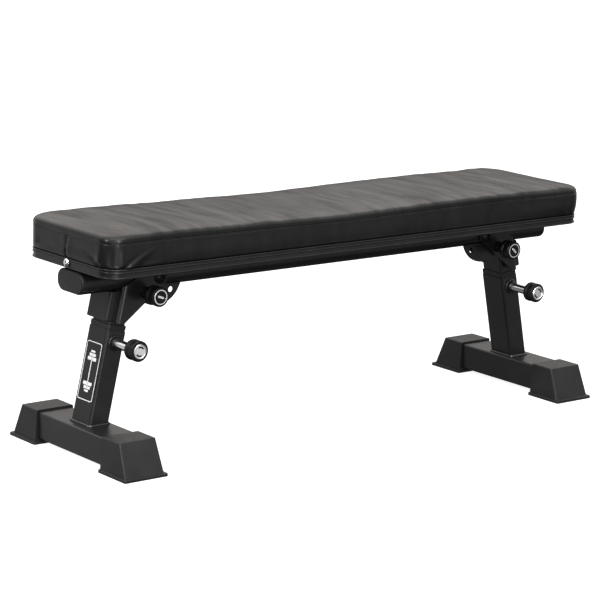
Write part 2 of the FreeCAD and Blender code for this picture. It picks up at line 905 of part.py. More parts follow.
def inner_tube(label, sign):
    start = size("inner_bottom")
    length = size("inner_top") - start
    depth, width = size("inner_depth"), size("inner_width")
    body = tube(label, depth, width, size("inner_wall"), size("inner_corner"), start, length)
    pitch = size("height_hole_pitch")
    top_hole = size("height_pin_along")
    spots = [(0, top_hole - pitch * count) for count in range(SIZES["height_holes"])]
    drill(body, sign, spots, size("height_hole"), width)
    place_on_leg(body, sign)


def tube_glide(label, sign):
    """The plastic plug that guides the inner tube's hidden end."""
    play, wall = size("glide_play"), size("outer_wall")
    depth = size("outer_depth") - (wall + play) * 2
    width = size("outer_width") - (wall + play) * 2
    bottom = size("inner_bottom")
    body = new_body(label)
    skirt = size("glide_skirt")
    sketch = sketch_on(body, "XY_Plane", bottom - skirt)
    rounded(sketch, depth, width, size("outer_corner") - wall - play)
    pad(body, sketch, skirt)
    plug = sketch_on(body, "XY_Plane", bottom)
    inset = size("inner_wall")
    corner = size("inner_corner") - inset
    rounded(plug, size("inner_depth") - inset * 2, size("inner_width") - inset * 2, corner)
    pad(body, plug, size("glide_length"))
    place_on_leg(body, sign)


def outer_tube(label, sign):
    depth, width = size("outer_depth"), size("outer_width")
    wall, corner = size("outer_wall"), size("outer_corner")
    spare = size("cross_corner") * 4
    length = size("outer_top") + spare
    body = tube(label, depth, width, wall, corner, -spare, length)
    seat = size("cross_bottom") + size("cross_height")
    below = sketch_on(body, "XZ_Plane", -width)
    left, right = -depth, depth
    cut_corners = [
        (left, -spare * 2),
        (right, -spare * 2),
        (right, level_height(right, seat)),
        (left, level_height(left, seat)),
    ]
    polygon(below, cut_corners)
    pocket(body, below, width * 2, True)
    drill(body, sign, [(0, size("height_pin_along"))], size("height_hole"), width)
    place_on_leg(body, sign)


def guide_bush(label, sign):
    """The plastic collar just above the outer tube's mouth, with a liner inside the tube."""
    body = new_body(label)
    top = size("outer_top")
    wall, corner = size("outer_wall"), size("outer_corner")
    depth, width = size("outer_depth"), size("outer_width")
    hole_depth = size("inner_depth") + size("bush_play") * 2
    hole_width = size("inner_width") + size("bush_play") * 2
    hole_corner = size("inner_corner")
    gap, inset = size("bush_gap"), size("bush_inset")
    flange = sketch_on(body, "XY_Plane", top + gap)
    rounded(flange, depth - inset * 2, width - inset * 2, corner - inset)
    rounded(flange, hole_depth, hole_width, hole_corner)
    pad(body, flange, size("bush_flange") - gap)
    liner = sketch_on(body, "XY_Plane", top - size("bush_depth"))
    rounded(liner, depth - wall * 2, width - wall * 2, corner - wall)
    rounded(liner, hole_depth, hole_width, hole_corner)
    pad(body, liner, size("bush_depth") + gap)
    rim = (top + size("bush_flange")).value
    outline = ((depth / 2 - inset).value, (width / 2 - inset).value, (corner - inset).value)

    def rim_edge(edge):
        box = edge.BoundBox
        level = abs(box.ZMin - rim) < 0.01 and abs(box.ZMax - rim) < 0.01
        spot = edge.valueAt((edge.FirstParameter + edge.LastParameter) / 2)
        return level and on_outline(spot, *outline)

    fillet(body, size("bush_rim"), rim_edge)
    drill(body, sign, [(0, size("height_pin_along"))], size("height_hole"), width)
    place_on_leg(body, sign)


def cheek_corners():
    """The side view of the leg bracket, as corners across and along the leg."""
    eye_across, eye_along = leg_spot(size("pivot_out"), size("pivot_height"))
    eye = size("cheek_eye")
    spine_bottom = spine_middle - size("spine_height") / 2 - size("spine_clearance")
    face, edge = size("bracket_face"), size("cheek_edge")
    foot = size("bracket_foot")
    toe = (size("cheek_toe"), foot)
    peak = (size("cheek_peak_across"), size("cheek_peak_along"))
    tip = tangent_corner(toe, peak, (eye_across, eye_along), eye)
    return [
        (face, foot),
        (face, level_height(face, spine_bottom)),
        (edge, level_height(edge, spine_bottom)),
        (edge, size("cheek_shoulder")),
        peak,
        tip,
        toe,
    ]


def tangent_corner(toe, peak, centre, radius):
    """The corner whose two sides, from toe and from peak, both touch a circle."""

    def bearing(start, side):
        across = centre[0].value - start[0].value
        along = centre[1].value - start[1].value
        lean = math.asin(radius.value / math.hypot(across, along))
        return math.atan2(along, across) + side * lean

    first, second = bearing(toe, 1), bearing(peak, -1)
    across = peak[0].value - toe[0].value
    along = peak[1].value - toe[1].value
    turn = math.sin(second - first)
    reach = (across * math.sin(second) - along * math.cos(second)) / turn
    corner = (
        toe[0].value + reach * math.cos(first),
        toe[1].value + reach * math.sin(first),
    )
    return as_size(corner[0]), as_size(corner[1])


def leg_bracket(label, sign):
    """The pressed bracket, with its mouth cut to hug the spine's section."""
    item = doc.addObject("Part::Cut", label)
    item.Label = label
    item.Base = bracket_blank(f"{label}_blank", sign)
    item.Tool = spine_space(f"{label}_space")
    doc.recompute()
    place(item)


def spine_space(label):
    """The spine's section with clearance all round, over its whole length."""
    clearance = size("spine_clearance")
    width = size("spine_width") + clearance * 2
    height = size("spine_height") + clearance * 2
    length = size("spine_length")
    body = new_body(label)
    sketch = sketch_on(body, "XY_Plane", -(length / 2))
    rounded(sketch, width, height, size("spine_corner") + clearance)
    pad(body, sketch, length)
    move(body, ZERO, ZERO, spine_middle, END_ON)
    return body


def bracket_blank(label, sign):
    """A channel over the inner tube, opening into two cheeks."""
    body = new_body(label)
    face, wall = size("bracket_face"), size("bracket_wall")
    half, side_wall = size("channel_half"), size("channel_wall")
    edge, inner = size("cheek_edge"), size("cheek_inner")
    outer = inner + wall
    foot = size("bracket_foot")
    back = -size("lock_plate_radius") * 2
    section = [
        (face, -half),
        (face, half),
        (edge, half),
        (edge, outer),
        (back, outer),
        (back, inner),
        (edge - wall, inner),
        (edge - wall, half - side_wall),
        (face - wall, half - side_wall),
    ]
    mirrored = [(across, -aside) for across, aside in reversed(section[2:])]
    sketch = sketch_on(body, "XY_Plane", foot)
    polygon(sketch, section + mirrored)
    pad(body, sketch, size("inner_top"))
    bends = (
        ("bracket_bend", face, half),
        ("shoulder_bend", edge, outer),
        ("bracket_inside_bend", face - wall, half - side_wall),
        ("shoulder_inside_bend", edge - wall, inner),
    )
    for radius, across, aside in bends:
        fillet(body, size(radius), runs_along(2, both_sides([(across, aside)])))
    side_view = sketch_on(body, "XZ_Plane", -outer * 2)
    limit = size("inner_top") * 3
    rectangle(side_view, -limit, limit, -limit, limit)
    polygon(side_view, cheek_corners())
    pocket(body, side_view, outer * 4, True)
    peak, tip, toe = cheek_corners()[-3:]
    eye_edges = runs_along(1, [(tip[0].value, tip[1].value)])
    fillet(body, size("cheek_eye"), eye_edges)
    soft = [(spot[0].value, spot[1].value) for spot in (peak, toe)]
    fillet(body, size("bracket_round"), runs_along(1, soft))
    fillet(body, wall * 0.8, runs_along(1, [(face.value, foot.value)]))
    foot_plate = sketch_on(body, "XY_Plane", foot)
    rectangle(foot_plate, size("inner_depth") / 2, face - wall, side_wall - half, half - side_wall)
    pad(body, foot_plate, side_wall)
    eye_across, eye_along = leg_spot(size("pivot_out"), size("pivot_height"))
    bore = sketch_on(body, "XZ_Plane", -outer * 2)
    circle(bore, eye_across, eye_along, size("pivot_radius") + size("pivot_play"))
    pocket(body, bore, outer * 4, True)
    drill(body, sign, [leg_spot(*fold_pin_place())], size("housing_radius"), outer * 2)
    move_to_leg(body, sign)
    return body


def both_sides(spots):
    """The plain values of some spots, and of their mirror images across the leg's middle."""
    values = [(across.value, aside.value) for across, aside in spots]
    return values + [(across, -aside) for across, aside in values]


def fold_pin_place():
    """The fold pin's place for the far leg, out from the bench's origin and up."""
    angle = size("lock_angle")
    out = size("pivot_out") + size("lock_radius") * angle.cosine()
    up = size("pivot_height") + size("lock_radius") * angle.sine()
    return out, up


def height_pin_place():
    """The height pin's place for the far leg, out from the bench's origin and up."""
    along = size("height_pin_along")
    out = size("leg_foot_out") - along * tilt.sine()
    up = size("leg_foot_height") + along * tilt.cosine()
    return out, up


# --- pull pins --------------------------------------------------------------------------------
# A pull pin's pieces are turned about Z in a frame whose origin is on the bench's middle plane
# and whose Z points out through the front. They are drawn with the plunger just clear of its
# hole; the spring drives it in from there.


def place_pin(item, sign, spot):
    out, up = spot
    place(item, out * sign, ZERO, up, TO_FRONT)


def fold_housing(label, sign):
    """The pull pin's sleeve, with a hexagon that seats on the cheek."""
    start, end = size("housing_start"), size("housing_end")
    radius = size("housing_radius")
    chamber, chamber_end = size("chamber_radius"), size("chamber_end")
    rod_bore = size("rod_radius") + size("rod_play")
    outline = [
        (chamber, start),
        (radius, start),
        (radius, end),
        (rod_bore, end),
        (rod_bore, chamber_end),
        (chamber, chamber_end),
    ]
    body = turned(label, outline)
    face = size("cheek_inner") + size("bracket_wall")
    reach = size("housing_hex_reach")
    sketch = sketch_on(body, "XY_Plane", face)
    corners = []
    for index in range(6):
        angle = math.radians(60 * index)
        corners.append((reach * round(math.cos(angle), 6), reach * round(math.sin(angle), 6)))
    polygon(sketch, corners)
    circle(sketch, 0, 0, (chamber + radius) / 2)
    pad(body, sketch, size("housing_hex_height"))
    place_pin(body, sign, fold_pin_place())


def plunger(label, sign, tip, shoulder, end, spot):
    radius, rod, nose = size("pin_radius"), size("rod_radius"), size("pin_nose")
    outline = [
        (0, tip),
        (radius - nose, tip),
        (radius, tip + nose),
        (radius, shoulder),
        (rod, shoulder),
        (rod, end),
        (0, end),
    ]
    place_pin(turned(label, outline), sign, spot)


def spring(label, sign, start, end, spot):
    """A coil spring round the plunger's rod, as a helix swept by a round wire."""
    wire, radius = SIZES["spring_wire"], SIZES["spring_radius"]
    low = start.value + SIZES["spring_end_gap"]
    height = end.value - SIZES["spring_end_gap"] - low
    path = Part.Wire(Part.makeLongHelix(SIZES["spring_pitch"], height, radius).Edges)
    path.translate(Vector(0, 0, low))
    first = path.OrderedEdges[0]
    heading = first.tangentAt(first.FirstParameter)
    section = Part.Wire(Part.makeCircle(wire, path.OrderedVertexes[0].Point, heading))
    item = doc.addObject("Part::Feature", label)
    item.Label = label
    item.Shape = path.makePipeShell([section], True, True)
    place_pin(item, sign, spot)


def knob(label, sign, start, end, radius, bore, bore_depth, rod_end, spot):
    """A knob with rounded rims, a grip groove, a bore that slides over the barrel and a rod hole."""
    rim, rod = size("knob_edge"), size("rod_radius")
    waist = radius - size("knob_waist")
    length = end - start
    outline = [
        (bore, start),
        (radius - rim, start),
        (radius, start + rim),
        (radius, start + length * 0.3),
        (waist, start + length * 0.36),
        (waist, end - length * 0.36),
        (radius, end - length * 0.3),
        (radius, end - rim),
        (radius - rim, end),
        (0, end),
        (0, rod_end),
        (rod, rod_end),
        (rod, start + bore_depth),
        (bore, start + bore_depth),
    ]
    place_pin(turned(label, outline), sign, spot)


def height_boss(label, sign):
    start, end = size("outer_width") / 2, size("boss_end")
    radius, bore, soft = size("boss_radius"), size("barrel_radius"), size("boss_edge")
    outline = [(bore, start), (radius, start), (radius, end - soft), (radius - soft, end), (bore, end)]
    place_pin(turned(label, outline), sign, height_pin_place())


def height_barrel(label, sign):
    start, end = size("outer_width") / 2, size("barrel_end")
    radius, chamber = size("barrel_radius"), size("chamber_radius")
    chamber_end = size("height_chamber_end")
    rod_bore = size("rod_radius") + size("rod_play")
    soft = size("barrel_edge")
    outline = [
        (chamber, start),
        (radius, start),
        (radius, end - soft),
        (radius - soft, end),
        (rod_bore, end),
        (rod_bore, chamber_end),
        (chamber, chamber_end),
    ]
    place_pin(turned(label, outline), sign, height_pin_place())


def knob_cap(label, sign):
    """The chromed disc on the height knob's face, with a raised rim."""
    start = size("height_knob_end")
    end = start + size("knob_cap_height")
    radius, rim, sink = size("knob_cap_radius"), size("knob_cap_rim"), size("knob_cap_sink")
    outline = [
        (0, start),
        (radius, start),
        (radius, end - sink),
        (radius - sink, end),
        (radius - rim, end),
        (radius - rim - sink, end - sink),
        (0, end - sink),
    ]
    place_pin(turned(label, outline), sign, height_pin_place())


# --- base -------------------------------------------------------------------------------------


def cross_tube(label, sign):
    half = size("cross_half")
    width, height = size("cross_width"), size("cross_height")
    body = tube(label, width, height, size("cross_wall"), size("cross_corner"), -half, half * 2)
    middle = size("cross_bottom") + height / 2
    place(body, size("cross_out") * sign, ZERO, middle, TO_FRONT)


def foot(label, sign, side):
    """A flared rubber foot with a flange, drawn for the back side, with a pocket for the tube."""
    body = new_body(label)
    low, high = size("foot_flange_height"), size("foot_top")
    base_half, top_half = size("foot_base_half"), size("foot_top_half")
    inner = size("foot_inner")
    flange_half, flange_inner = size("foot_flange_half"), size("foot_flange_inner")
    flange_outer = size("foot_flange_outer")
    flange = sketch_on(body, "XY_Plane")
    rectangle(flange, -flange_half, flange_half, flange_inner, flange_outer)
    pad(body, flange, low)
    corners = [(a * flange_half.value, y.value) for a in (-1, 1) for y in (flange_inner, flange_outer)]
    fillet(body, size("foot_edge"), runs_along(2, corners))
    fillet(body, size("foot_flange_edge"), flat_at(low.value))
    bottom = sketch_on(body, "XY_Plane", low * 0.5)
    rectangle(bottom, -base_half, base_half, inner, size("foot_base_outer"))
    top = sketch_on(body, "XY_Plane", high)
    rectangle(top, -top_half, top_half, inner, size("foot_top_outer"))
    loft = body.newObject("PartDesign::AdditiveLoft", f"{label}_loft")
    loft.Profile = bottom
    loft.Sections = [top]
    loft.Ruled = True
    doc.recompute()
    upper = low.value + 1

    def side_edge(edge):
        box = edge.BoundBox
        return box.ZMax > high.value - 0.01 and box.ZMin < upper + 0.01 and box.YMax > inner.value + 1

    fillet(body, size("foot_edge"), side_edge)

    def top_edge(edge):
        box = edge.BoundBox
        return box.ZMin > high.value - 0.01 and box.YMax > inner.value + 0.01

    fillet(body, size("foot_edge") * 0.6, top_edge)
    half, bottom_of_tube = size("cross_width") / 2, size("cross_bottom")
    hollow = sketch_on(body, "XZ_Plane", -size("cross_half"))
    rectangle(hollow, -half, half, bottom_of_tube, bottom_of_tube + size("cross_height"))
    pocket(body, hollow, size("cross_half"), True)
    turn = Rotation(Vector(0, 0, 1), 180 if side < 0 else 0)
    place(body, size("cross_out") * sign, ZERO, ZERO, turn)


def leg_label(label, sign):
    body = new_body(label)
    half, low, high = size("label_half"), size("label_bottom"), size("label_top")
    sketch = sketch_on(body, "YZ_Plane", size("outer_depth") / 2)
    rectangle(sketch, -half, half, low, high)
    pad(body, sketch, size("label_wall"))
    corners = [(a * half.value, z.value) for a in (-1, 1) for z in (low, high)]
    fillet(body, size("label_corner"), runs_along(0, corners))
    place_on_leg(body, sign)


# --- the whole bench --------------------------------------------------------------------------


def build_top():
    pad_cover()
    pad_foam()
    pad_board()
    trim_band()
    trim_screws()
    pad_strap("near_outer_pad_strap", -size("strap_outer"))
    pad_strap("near_inner_pad_strap", -size("strap_inner"))
    pad_strap("far_inner_pad_strap", size("strap_inner"))
    pad_strap("far_outer_pad_strap", size("strap_outer"))
    pad_bolts()
    pad_tee_nuts()
    spine_tube()
    spine_cap("near_spine_cap", -1)
    spine_cap("far_spine_cap", 1)
    for end, sign in (("near", -1), ("far", 1)):
        lock_plate(f"{end}_lock_plate", sign)
    pivot_sleeves()
    pivot_bolts()
    pivot_nuts()
    pivot_washers()


def build_leg(end, sign):
    leg_bracket(f"{end}_leg_bracket", sign)
    inner_tube(f"{end}_inner_tube", sign)
    tube_glide(f"{end}_tube_glide", sign)
    outer_tube(f"{end}_outer_tube", sign)
    guide_bush(f"{end}_guide_bush", sign)
    cross_tube(f"{end}_cross_tube", sign)
    foot(f"{end}_front_foot", sign, -1)
    foot(f"{end}_back_foot", sign, 1)


def build_fold_lock(end, sign):
    spot = fold_pin_place()
    rod_end = size("fold_knob_end") - size("knob_face")
    shoulder = size("fold_pin_shoulder")
    fold_housing(f"{end}_fold_housing", sign)
    plunger(f"{end}_fold_pin", sign, size("fold_pin_tip"), shoulder, rod_end, spot)
    spring(f"{end}_fold_spring", sign, shoulder, size("chamber_end"), spot)
    start, stop = size("fold_knob_start"), size("fold_knob_end")
    radius, depth = size("fold_knob_radius"), size("fold_knob_bore")
    bore = size("housing_radius") + size("knob_bore_play")
    knob(f"{end}_fold_knob", sign, start, stop, radius, bore, depth, rod_end, spot)


def build_height_lock(end, sign):
    spot = height_pin_place()
    rod_end = size("height_knob_end") - size("knob_face")
    shoulder = size("height_pin_shoulder")
    height_boss(f"{end}_height_boss", sign)
    height_barrel(f"{end}_height_barrel", sign)
    plunger(f"{end}_height_pin", sign, size("height_pin_tip"), shoulder, rod_end, spot)
    spring(f"{end}_height_spring", sign, shoulder, size("height_chamber_end"), spot)
    start, stop = size("height_knob_start"), size("height_knob_end")
    radius, depth = size("height_knob_radius"), size("height_knob_bore")
    bore = size("barrel_radius") + size("knob_bore_play")
    knob(f"{end}_height_knob", sign, start, stop, radius, bore, depth, rod_end, spot)
    knob_cap(f"{end}_knob_cap", sign)


build_top()
for end, sign in (("near", -1), ("far", 1)):
    build_leg(end, sign)
    build_fold_lock(end, sign)
    build_height_lock(end, sign)
leg_label("near_leg_label", -1)
doc.recompute()

for item in doc.Objects:
    if "Invalid" in item.State or "Error" in item.State:
        raise RuntimeError(f"{item.Label} failed: {item.State}")
os.makedirs("parts", exist_ok=True)
for item in finished:
    if item.Shape.isNull() or not item.Shape.isValid():
        raise RuntimeError(f"{item.Label} has no valid shape")
    item.Shape.exportStep(f"parts/{item.Label}.step")
print(len(finished), "parts written")
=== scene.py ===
import json
import math
import random

import bpy
import numpy as np
from mathutils import Matrix, Vector, noise


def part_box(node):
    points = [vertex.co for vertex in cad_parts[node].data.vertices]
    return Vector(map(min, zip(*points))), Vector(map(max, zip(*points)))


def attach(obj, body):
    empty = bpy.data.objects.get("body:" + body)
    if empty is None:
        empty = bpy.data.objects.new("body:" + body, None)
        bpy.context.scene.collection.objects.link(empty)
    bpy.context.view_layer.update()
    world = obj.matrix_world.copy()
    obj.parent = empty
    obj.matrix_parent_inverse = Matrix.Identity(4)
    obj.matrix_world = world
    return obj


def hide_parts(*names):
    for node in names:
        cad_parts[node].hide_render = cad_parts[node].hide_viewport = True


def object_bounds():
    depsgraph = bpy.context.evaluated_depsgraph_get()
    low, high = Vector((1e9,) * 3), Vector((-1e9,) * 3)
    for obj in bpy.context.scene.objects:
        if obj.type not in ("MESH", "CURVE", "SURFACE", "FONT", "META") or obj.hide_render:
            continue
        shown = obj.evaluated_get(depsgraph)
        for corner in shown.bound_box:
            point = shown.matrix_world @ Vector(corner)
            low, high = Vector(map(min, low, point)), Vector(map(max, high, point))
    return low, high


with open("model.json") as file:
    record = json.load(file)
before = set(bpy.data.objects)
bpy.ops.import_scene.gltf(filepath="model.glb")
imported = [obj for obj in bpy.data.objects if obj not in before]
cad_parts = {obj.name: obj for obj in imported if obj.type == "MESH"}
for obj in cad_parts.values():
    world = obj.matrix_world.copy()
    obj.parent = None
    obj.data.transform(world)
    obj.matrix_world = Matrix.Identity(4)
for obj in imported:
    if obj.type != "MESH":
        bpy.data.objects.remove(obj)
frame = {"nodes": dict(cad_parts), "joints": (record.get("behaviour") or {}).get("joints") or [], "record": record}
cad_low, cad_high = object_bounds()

# The looks of a folding flat weight bench. Metres; X runs along the bench, the "near" end is -X
# and the "front" with the pull knobs is -Y. The CAD parts carry the shape of the steelwork, the
# feet and the knobs. This script adds the sewn cushion, welds, small marks, materials and light.

MM = 0.001
nodes = frame["nodes"]
record = frame["record"]
joints = {joint["name"]: joint for joint in frame["joints"]}
ENDS = (("near", -1), ("far", 1))


# --- materials --------------------------------------------------------------------------------


class Surface:
    """A principled material whose texture nodes are added by small calls."""

    def __init__(self, name, metallic=0.0, specular=0.5):
        self.material = bpy.data.materials.new(name)
        self.material.use_nodes = True
        self.tree = self.material.node_tree
        self.shader = self.tree.nodes["Principled BSDF"]
        self.set("Metallic", metallic)
        self.set("Specular IOR Level", specular)
        self.normal = None
        self.place = self.add("ShaderNodeTexCoord").outputs["Object"]

    def set(self, socket, number):
        self.shader.inputs[socket].default_value = number

    def add(self, kind, **settings):
        node = self.tree.nodes.new(kind)
        for name, setting in settings.items():
            setattr(node, name, setting)
        return node

    def link(self, source, target):
        self.tree.links.new(source, target)

    def stretched(self, scale):
        """The object's own coordinates, scaled along each axis."""
        mapping = self.add("ShaderNodeMapping")
        mapping.inputs["Scale"].default_value = scale
        self.link(self.place, mapping.inputs["Vector"])
        return mapping.outputs["Vector"]

    def speckle(self, scale, detail=4.0, rough=0.55, stretch=None):
        """A noise from 0 to 1 with so many blotches per metre."""
        texture = self.add("ShaderNodeTexNoise")
        texture.inputs["Scale"].default_value = scale
        texture.inputs["Detail"].default_value = detail
        texture.inputs["Roughness"].default_value = rough
        self.link(self.stretched(stretch) if stretch else self.place, texture.inputs["Vector"])
        return texture.outputs["Fac"]

    def cells(self, scale):
        """Rounded cells, so many per metre."""
        texture = self.add("ShaderNodeTexVoronoi")
        texture.inputs["Scale"].default_value = scale
        self.link(self.place, texture.inputs["Vector"])
        return texture.outputs["Distance"]

    def spread(self, source, low, high, start=0.3, stop=0.7):
        """Maps start..stop of a texture to low..high."""
        node = self.add("ShaderNodeMapRange")
        for socket, number in (("From Min", start), ("From Max", stop), ("To Min", low), ("To Max", high)):
            node.inputs[socket].default_value = number
        self.link(source, node.inputs["Value"])
        return node.outputs["Result"]

    def on_top(self, source, elsewhere):
        """A texture that keeps its contrast on faces that look up and only part of it elsewhere."""
        split = self.add("ShaderNodeSeparateXYZ")
        self.link(self.add("ShaderNodeNewGeometry").outputs["Normal"], split.inputs["Vector"])
        keep = self.spread(split.outputs["Z"], elsewhere, 1.0, 0.3, 0.9)
        centred = self.add("ShaderNodeMath", operation="SUBTRACT")
        self.link(source, centred.inputs[0])
        centred.inputs[1].default_value = 0.5
        node = self.add("ShaderNodeMath", operation="MULTIPLY_ADD")
        self.link(centred.outputs["Value"], node.inputs[0])
        self.link(keep, node.inputs[1])
        node.inputs[2].default_value = 0.5
        return node.outputs["Value"]

    def mixed(self, factor, first, second):
        """A colour between two colours; each is an RGB triple or another node's output."""
        node = self.add("ShaderNodeMix", data_type="RGBA")
        self.link(factor, node.inputs["Factor"])
        for socket, colour in ((6, first), (7, second)):
            if isinstance(colour, tuple):
                node.inputs[socket].default_value = (*colour, 1.0)
            else:
                self.link(colour, node.inputs[socket])
        return node.outputs[2]

    def soft_edges(self, radius):
        """Shades the edges as if they were rounded."""
        node = self.add("ShaderNodeBevel", samples=4)
        node.inputs["Radius"].default_value = radius
        self.normal = node.outputs["Normal"]

    def edge_mask(self, radius):
        """1 on outer and inner edges and 0 on flat faces."""
        least_turn, full_turn = 0.04, 0.35
        rounded = self.add("ShaderNodeBevel", samples=4)
        rounded.inputs["Radius"].default_value = radius
        flat = self.add("ShaderNodeNewGeometry").outputs["Normal"]
        dot = self.add("ShaderNodeVectorMath", operation="DOT_PRODUCT")
        self.link(rounded.outputs["Normal"], dot.inputs[0])
        self.link(flat, dot.inputs[1])
        return self.spread(dot.outputs["Value"], 0.0, 1.0, 1.0 - least_turn, 1.0 - full_turn)

    def bump(self, height, strength, distance):
        """Adds relief on top of what the normal already holds."""
        node = self.add("ShaderNodeBump")
        node.inputs["Strength"].default_value = strength
        node.inputs["Distance"].default_value = distance
        self.link(height, node.inputs["Height"])
        if self.normal is not None:
            self.link(self.normal, node.inputs["Normal"])
        self.normal = node.outputs["Normal"]

    def done(self, colour, roughness):
        """Connects what is left and returns the material."""
        self.link(colour, self.shader.inputs["Base Color"])
        self.link(roughness, self.shader.inputs["Roughness"])
        if self.normal is not None:
            self.link(self.normal, self.shader.inputs["Normal"])
        return self.material


def vinyl():
    """Black leathercloth with a fine grain, and streaks across the bench where it looks up."""
    s = Surface("pad_vinyl", specular=0.25)
    grain = s.cells(520.0)
    pores = s.speckle(1500.0, 3.0)
    s.bump(grain, 0.10, 0.0005)
    s.bump(pores, 0.06, 0.0002)
    patches = s.speckle(9.0, 5.0, 0.6, (1.0, 2.2, 1.0))
    streaks = s.speckle(38.0, 5.0, 0.62, (1.0, 0.16, 0.5))
    streaks = s.on_top(streaks, 0.3)
    s.link(s.spread(streaks, 0.36, 0.12, 0.35, 0.65), s.shader.inputs["Specular IOR Level"])
    colour = s.mixed(s.spread(patches, 0.0, 1.0), (0.0050, 0.0049, 0.0048), (0.0085, 0.0081, 0.0078))
    return s.done(colour, s.spread(streaks, 0.25, 0.36))


def thread():
    s = Surface("seam_thread", specular=0.2)
    twist = s.speckle(1800.0, 2.0)
    s.bump(twist, 0.4, 0.0002)
    colour = s.mixed(s.spread(twist, 0.0, 1.0), (0.005, 0.005, 0.005), (0.011, 0.010, 0.010))
    return s.done(colour, s.spread(twist, 0.55, 0.75))


def powder_coat(name, low, high, rough_low, rough_high, specular=0.32):
    """Fine orange-peel paint, rubbed paler here and there on its edges."""
    s = Surface(name, specular=specular)
    s.soft_edges(0.0009)
    s.bump(s.speckle(900.0, 3.0), 0.10, 0.0003)
    blotch = s.speckle(14.0, 5.0)
    colour = s.mixed(s.spread(blotch, 0.0, 1.0), low, high)
    scuffs = s.speckle(60.0, 8.0, 0.75)
    rubbed = s.add("ShaderNodeMath", operation="MULTIPLY")
    s.link(s.edge_mask(0.0011), rubbed.inputs[0])
    s.link(s.spread(scuffs, 0.0, 0.55, 0.45, 0.75), rubbed.inputs[1])
    colour = s.mixed(rubbed.outputs["Value"], colour, (0.060, 0.058, 0.056))
    return s.done(colour, s.spread(scuffs, rough_low, rough_high))


def moulded(name, low, high, rough_low, rough_high, pebble, strength, specular=0.26):
    """Plastic or rubber with a pebbled skin and a little dust on its edges."""
    s = Surface(name, specular=specular)
    s.soft_edges(0.0006)
    s.bump(s.speckle(pebble, 2.0), strength, 0.0003)
    blotch = s.speckle(22.0, 4.0)
    colour = s.mixed(s.spread(blotch, 0.0, 1.0), low, high)
    dust = s.edge_mask(0.0014)
    colour = s.mixed(s.spread(dust, 0.0, 0.4, 0.0, 1.0), colour, tuple(3.0 * c for c in high))
    return s.done(colour, s.spread(s.speckle(45.0, 6.0, 0.7), rough_low, rough_high))


def plated(name, low, high, rough_low, rough_high, scratch):
    """Plated steel with fine drawn lines."""
    s = Surface(name, metallic=1.0)
    s.soft_edges(0.0003)
    lines = s.speckle(350.0, 3.0, 0.5, (1.0, 0.12, 1.0))
    s.bump(lines, scratch, 0.0001)
    colour = s.mixed(s.spread(s.speckle(70.0, 5.0), 0.0, 1.0), low, high)
    return s.done(colour, s.spread(s.speckle(180.0, 6.0, 0.7), rough_low, rough_high))


def plywood():
    """Black-stained board whose grain still shows."""
    s = Surface("plywood", specular=0.3)
    rings = s.add("ShaderNodeTexWave", wave_type="BANDS", bands_direction="Y")
    rings.inputs["Scale"].default_value = 18.0
    rings.inputs["Distortion"].default_value = 9.0
    rings.inputs["Detail"].default_value = 4.0
    s.link(s.stretched((0.25, 1.0, 1.0)), rings.inputs["Vector"])
    fibres = s.speckle(420.0, 4.0, 0.6, (0.05, 1.0, 1.0))
    colour = s.mixed(rings.outputs["Fac"], (0.014, 0.012, 0.011), (0.026, 0.023, 0.020))
    colour = s.mixed(s.spread(fibres, 0.0, 0.45), colour, (0.008, 0.007, 0.006))
    s.bump(fibres, 0.25, 0.0003)
    return s.done(colour, s.spread(fibres, 0.55, 0.8))


def printed():
    s = Surface("label_print", specular=0.5)
    dots = s.speckle(900.0, 2.0)
    s.bump(dots, 0.05, 0.0001)
    colour = s.mixed(s.spread(dots, 0.0, 1.0), (0.62, 0.62, 0.61), (0.78, 0.78, 0.77))
    return s.done(colour, s.spread(s.speckle(80.0), 0.35, 0.5))


BLACK = (0.0060, 0.0060, 0.0061)
PAINT_LIGHT = (0.0105, 0.0105, 0.0108)
RUBBER_DARK, RUBBER_LIGHT = (0.009, 0.009, 0.009), (0.015, 0.015, 0.015)
materials = {
    "pad_vinyl": vinyl(),
    "plywood": plywood(),
    "trim_plastic": moulded("trim_plastic", BLACK, (0.011, 0.011, 0.011), 0.24, 0.34, 700.0, 0.08, 0.3),
    "bright_steel": plated("bright_steel", (0.72, 0.72, 0.73), (0.84, 0.84, 0.85), 0.10, 0.2, 0.05),
    "zinc_steel": plated("zinc_steel", (0.42, 0.42, 0.43), (0.62, 0.62, 0.62), 0.28, 0.42, 0.15),
    "black_steel": powder_coat("black_steel", BLACK, PAINT_LIGHT, 0.27, 0.39),
    "black_hardware": powder_coat("black_hardware", (0.004, 0.004, 0.004), BLACK, 0.34, 0.48, 0.18),
    "cap_plastic": moulded("cap_plastic", BLACK, (0.013, 0.013, 0.013), 0.36, 0.48, 1100.0, 0.22),
    "foot_rubber": moulded("foot_rubber", RUBBER_DARK, RUBBER_LIGHT, 0.40, 0.52, 800.0, 0.3),
    "knob_plastic": moulded("knob_plastic", BLACK, (0.008, 0.008, 0.008), 0.28, 0.42, 500.0, 0.06, 0.13),
    "label_print": moulded("label_ground", BLACK, (0.009, 0.009, 0.009), 0.3, 0.42, 600.0, 0.04, 0.35),
}
weld_coat = powder_coat("weld_coat", BLACK, PAINT_LIGHT, 0.14, 0.24, 0.6)
thread_material = thread()
white_print = printed()

for subpart in record["subparts"]:
    node, slot = subpart["node"], subpart["material_slot"]
    if slot in materials:
        nodes[node].data.materials.clear()
        nodes[node].data.materials.append(materials[slot])


# --- mesh helpers -----------------------------------------------------------------------------


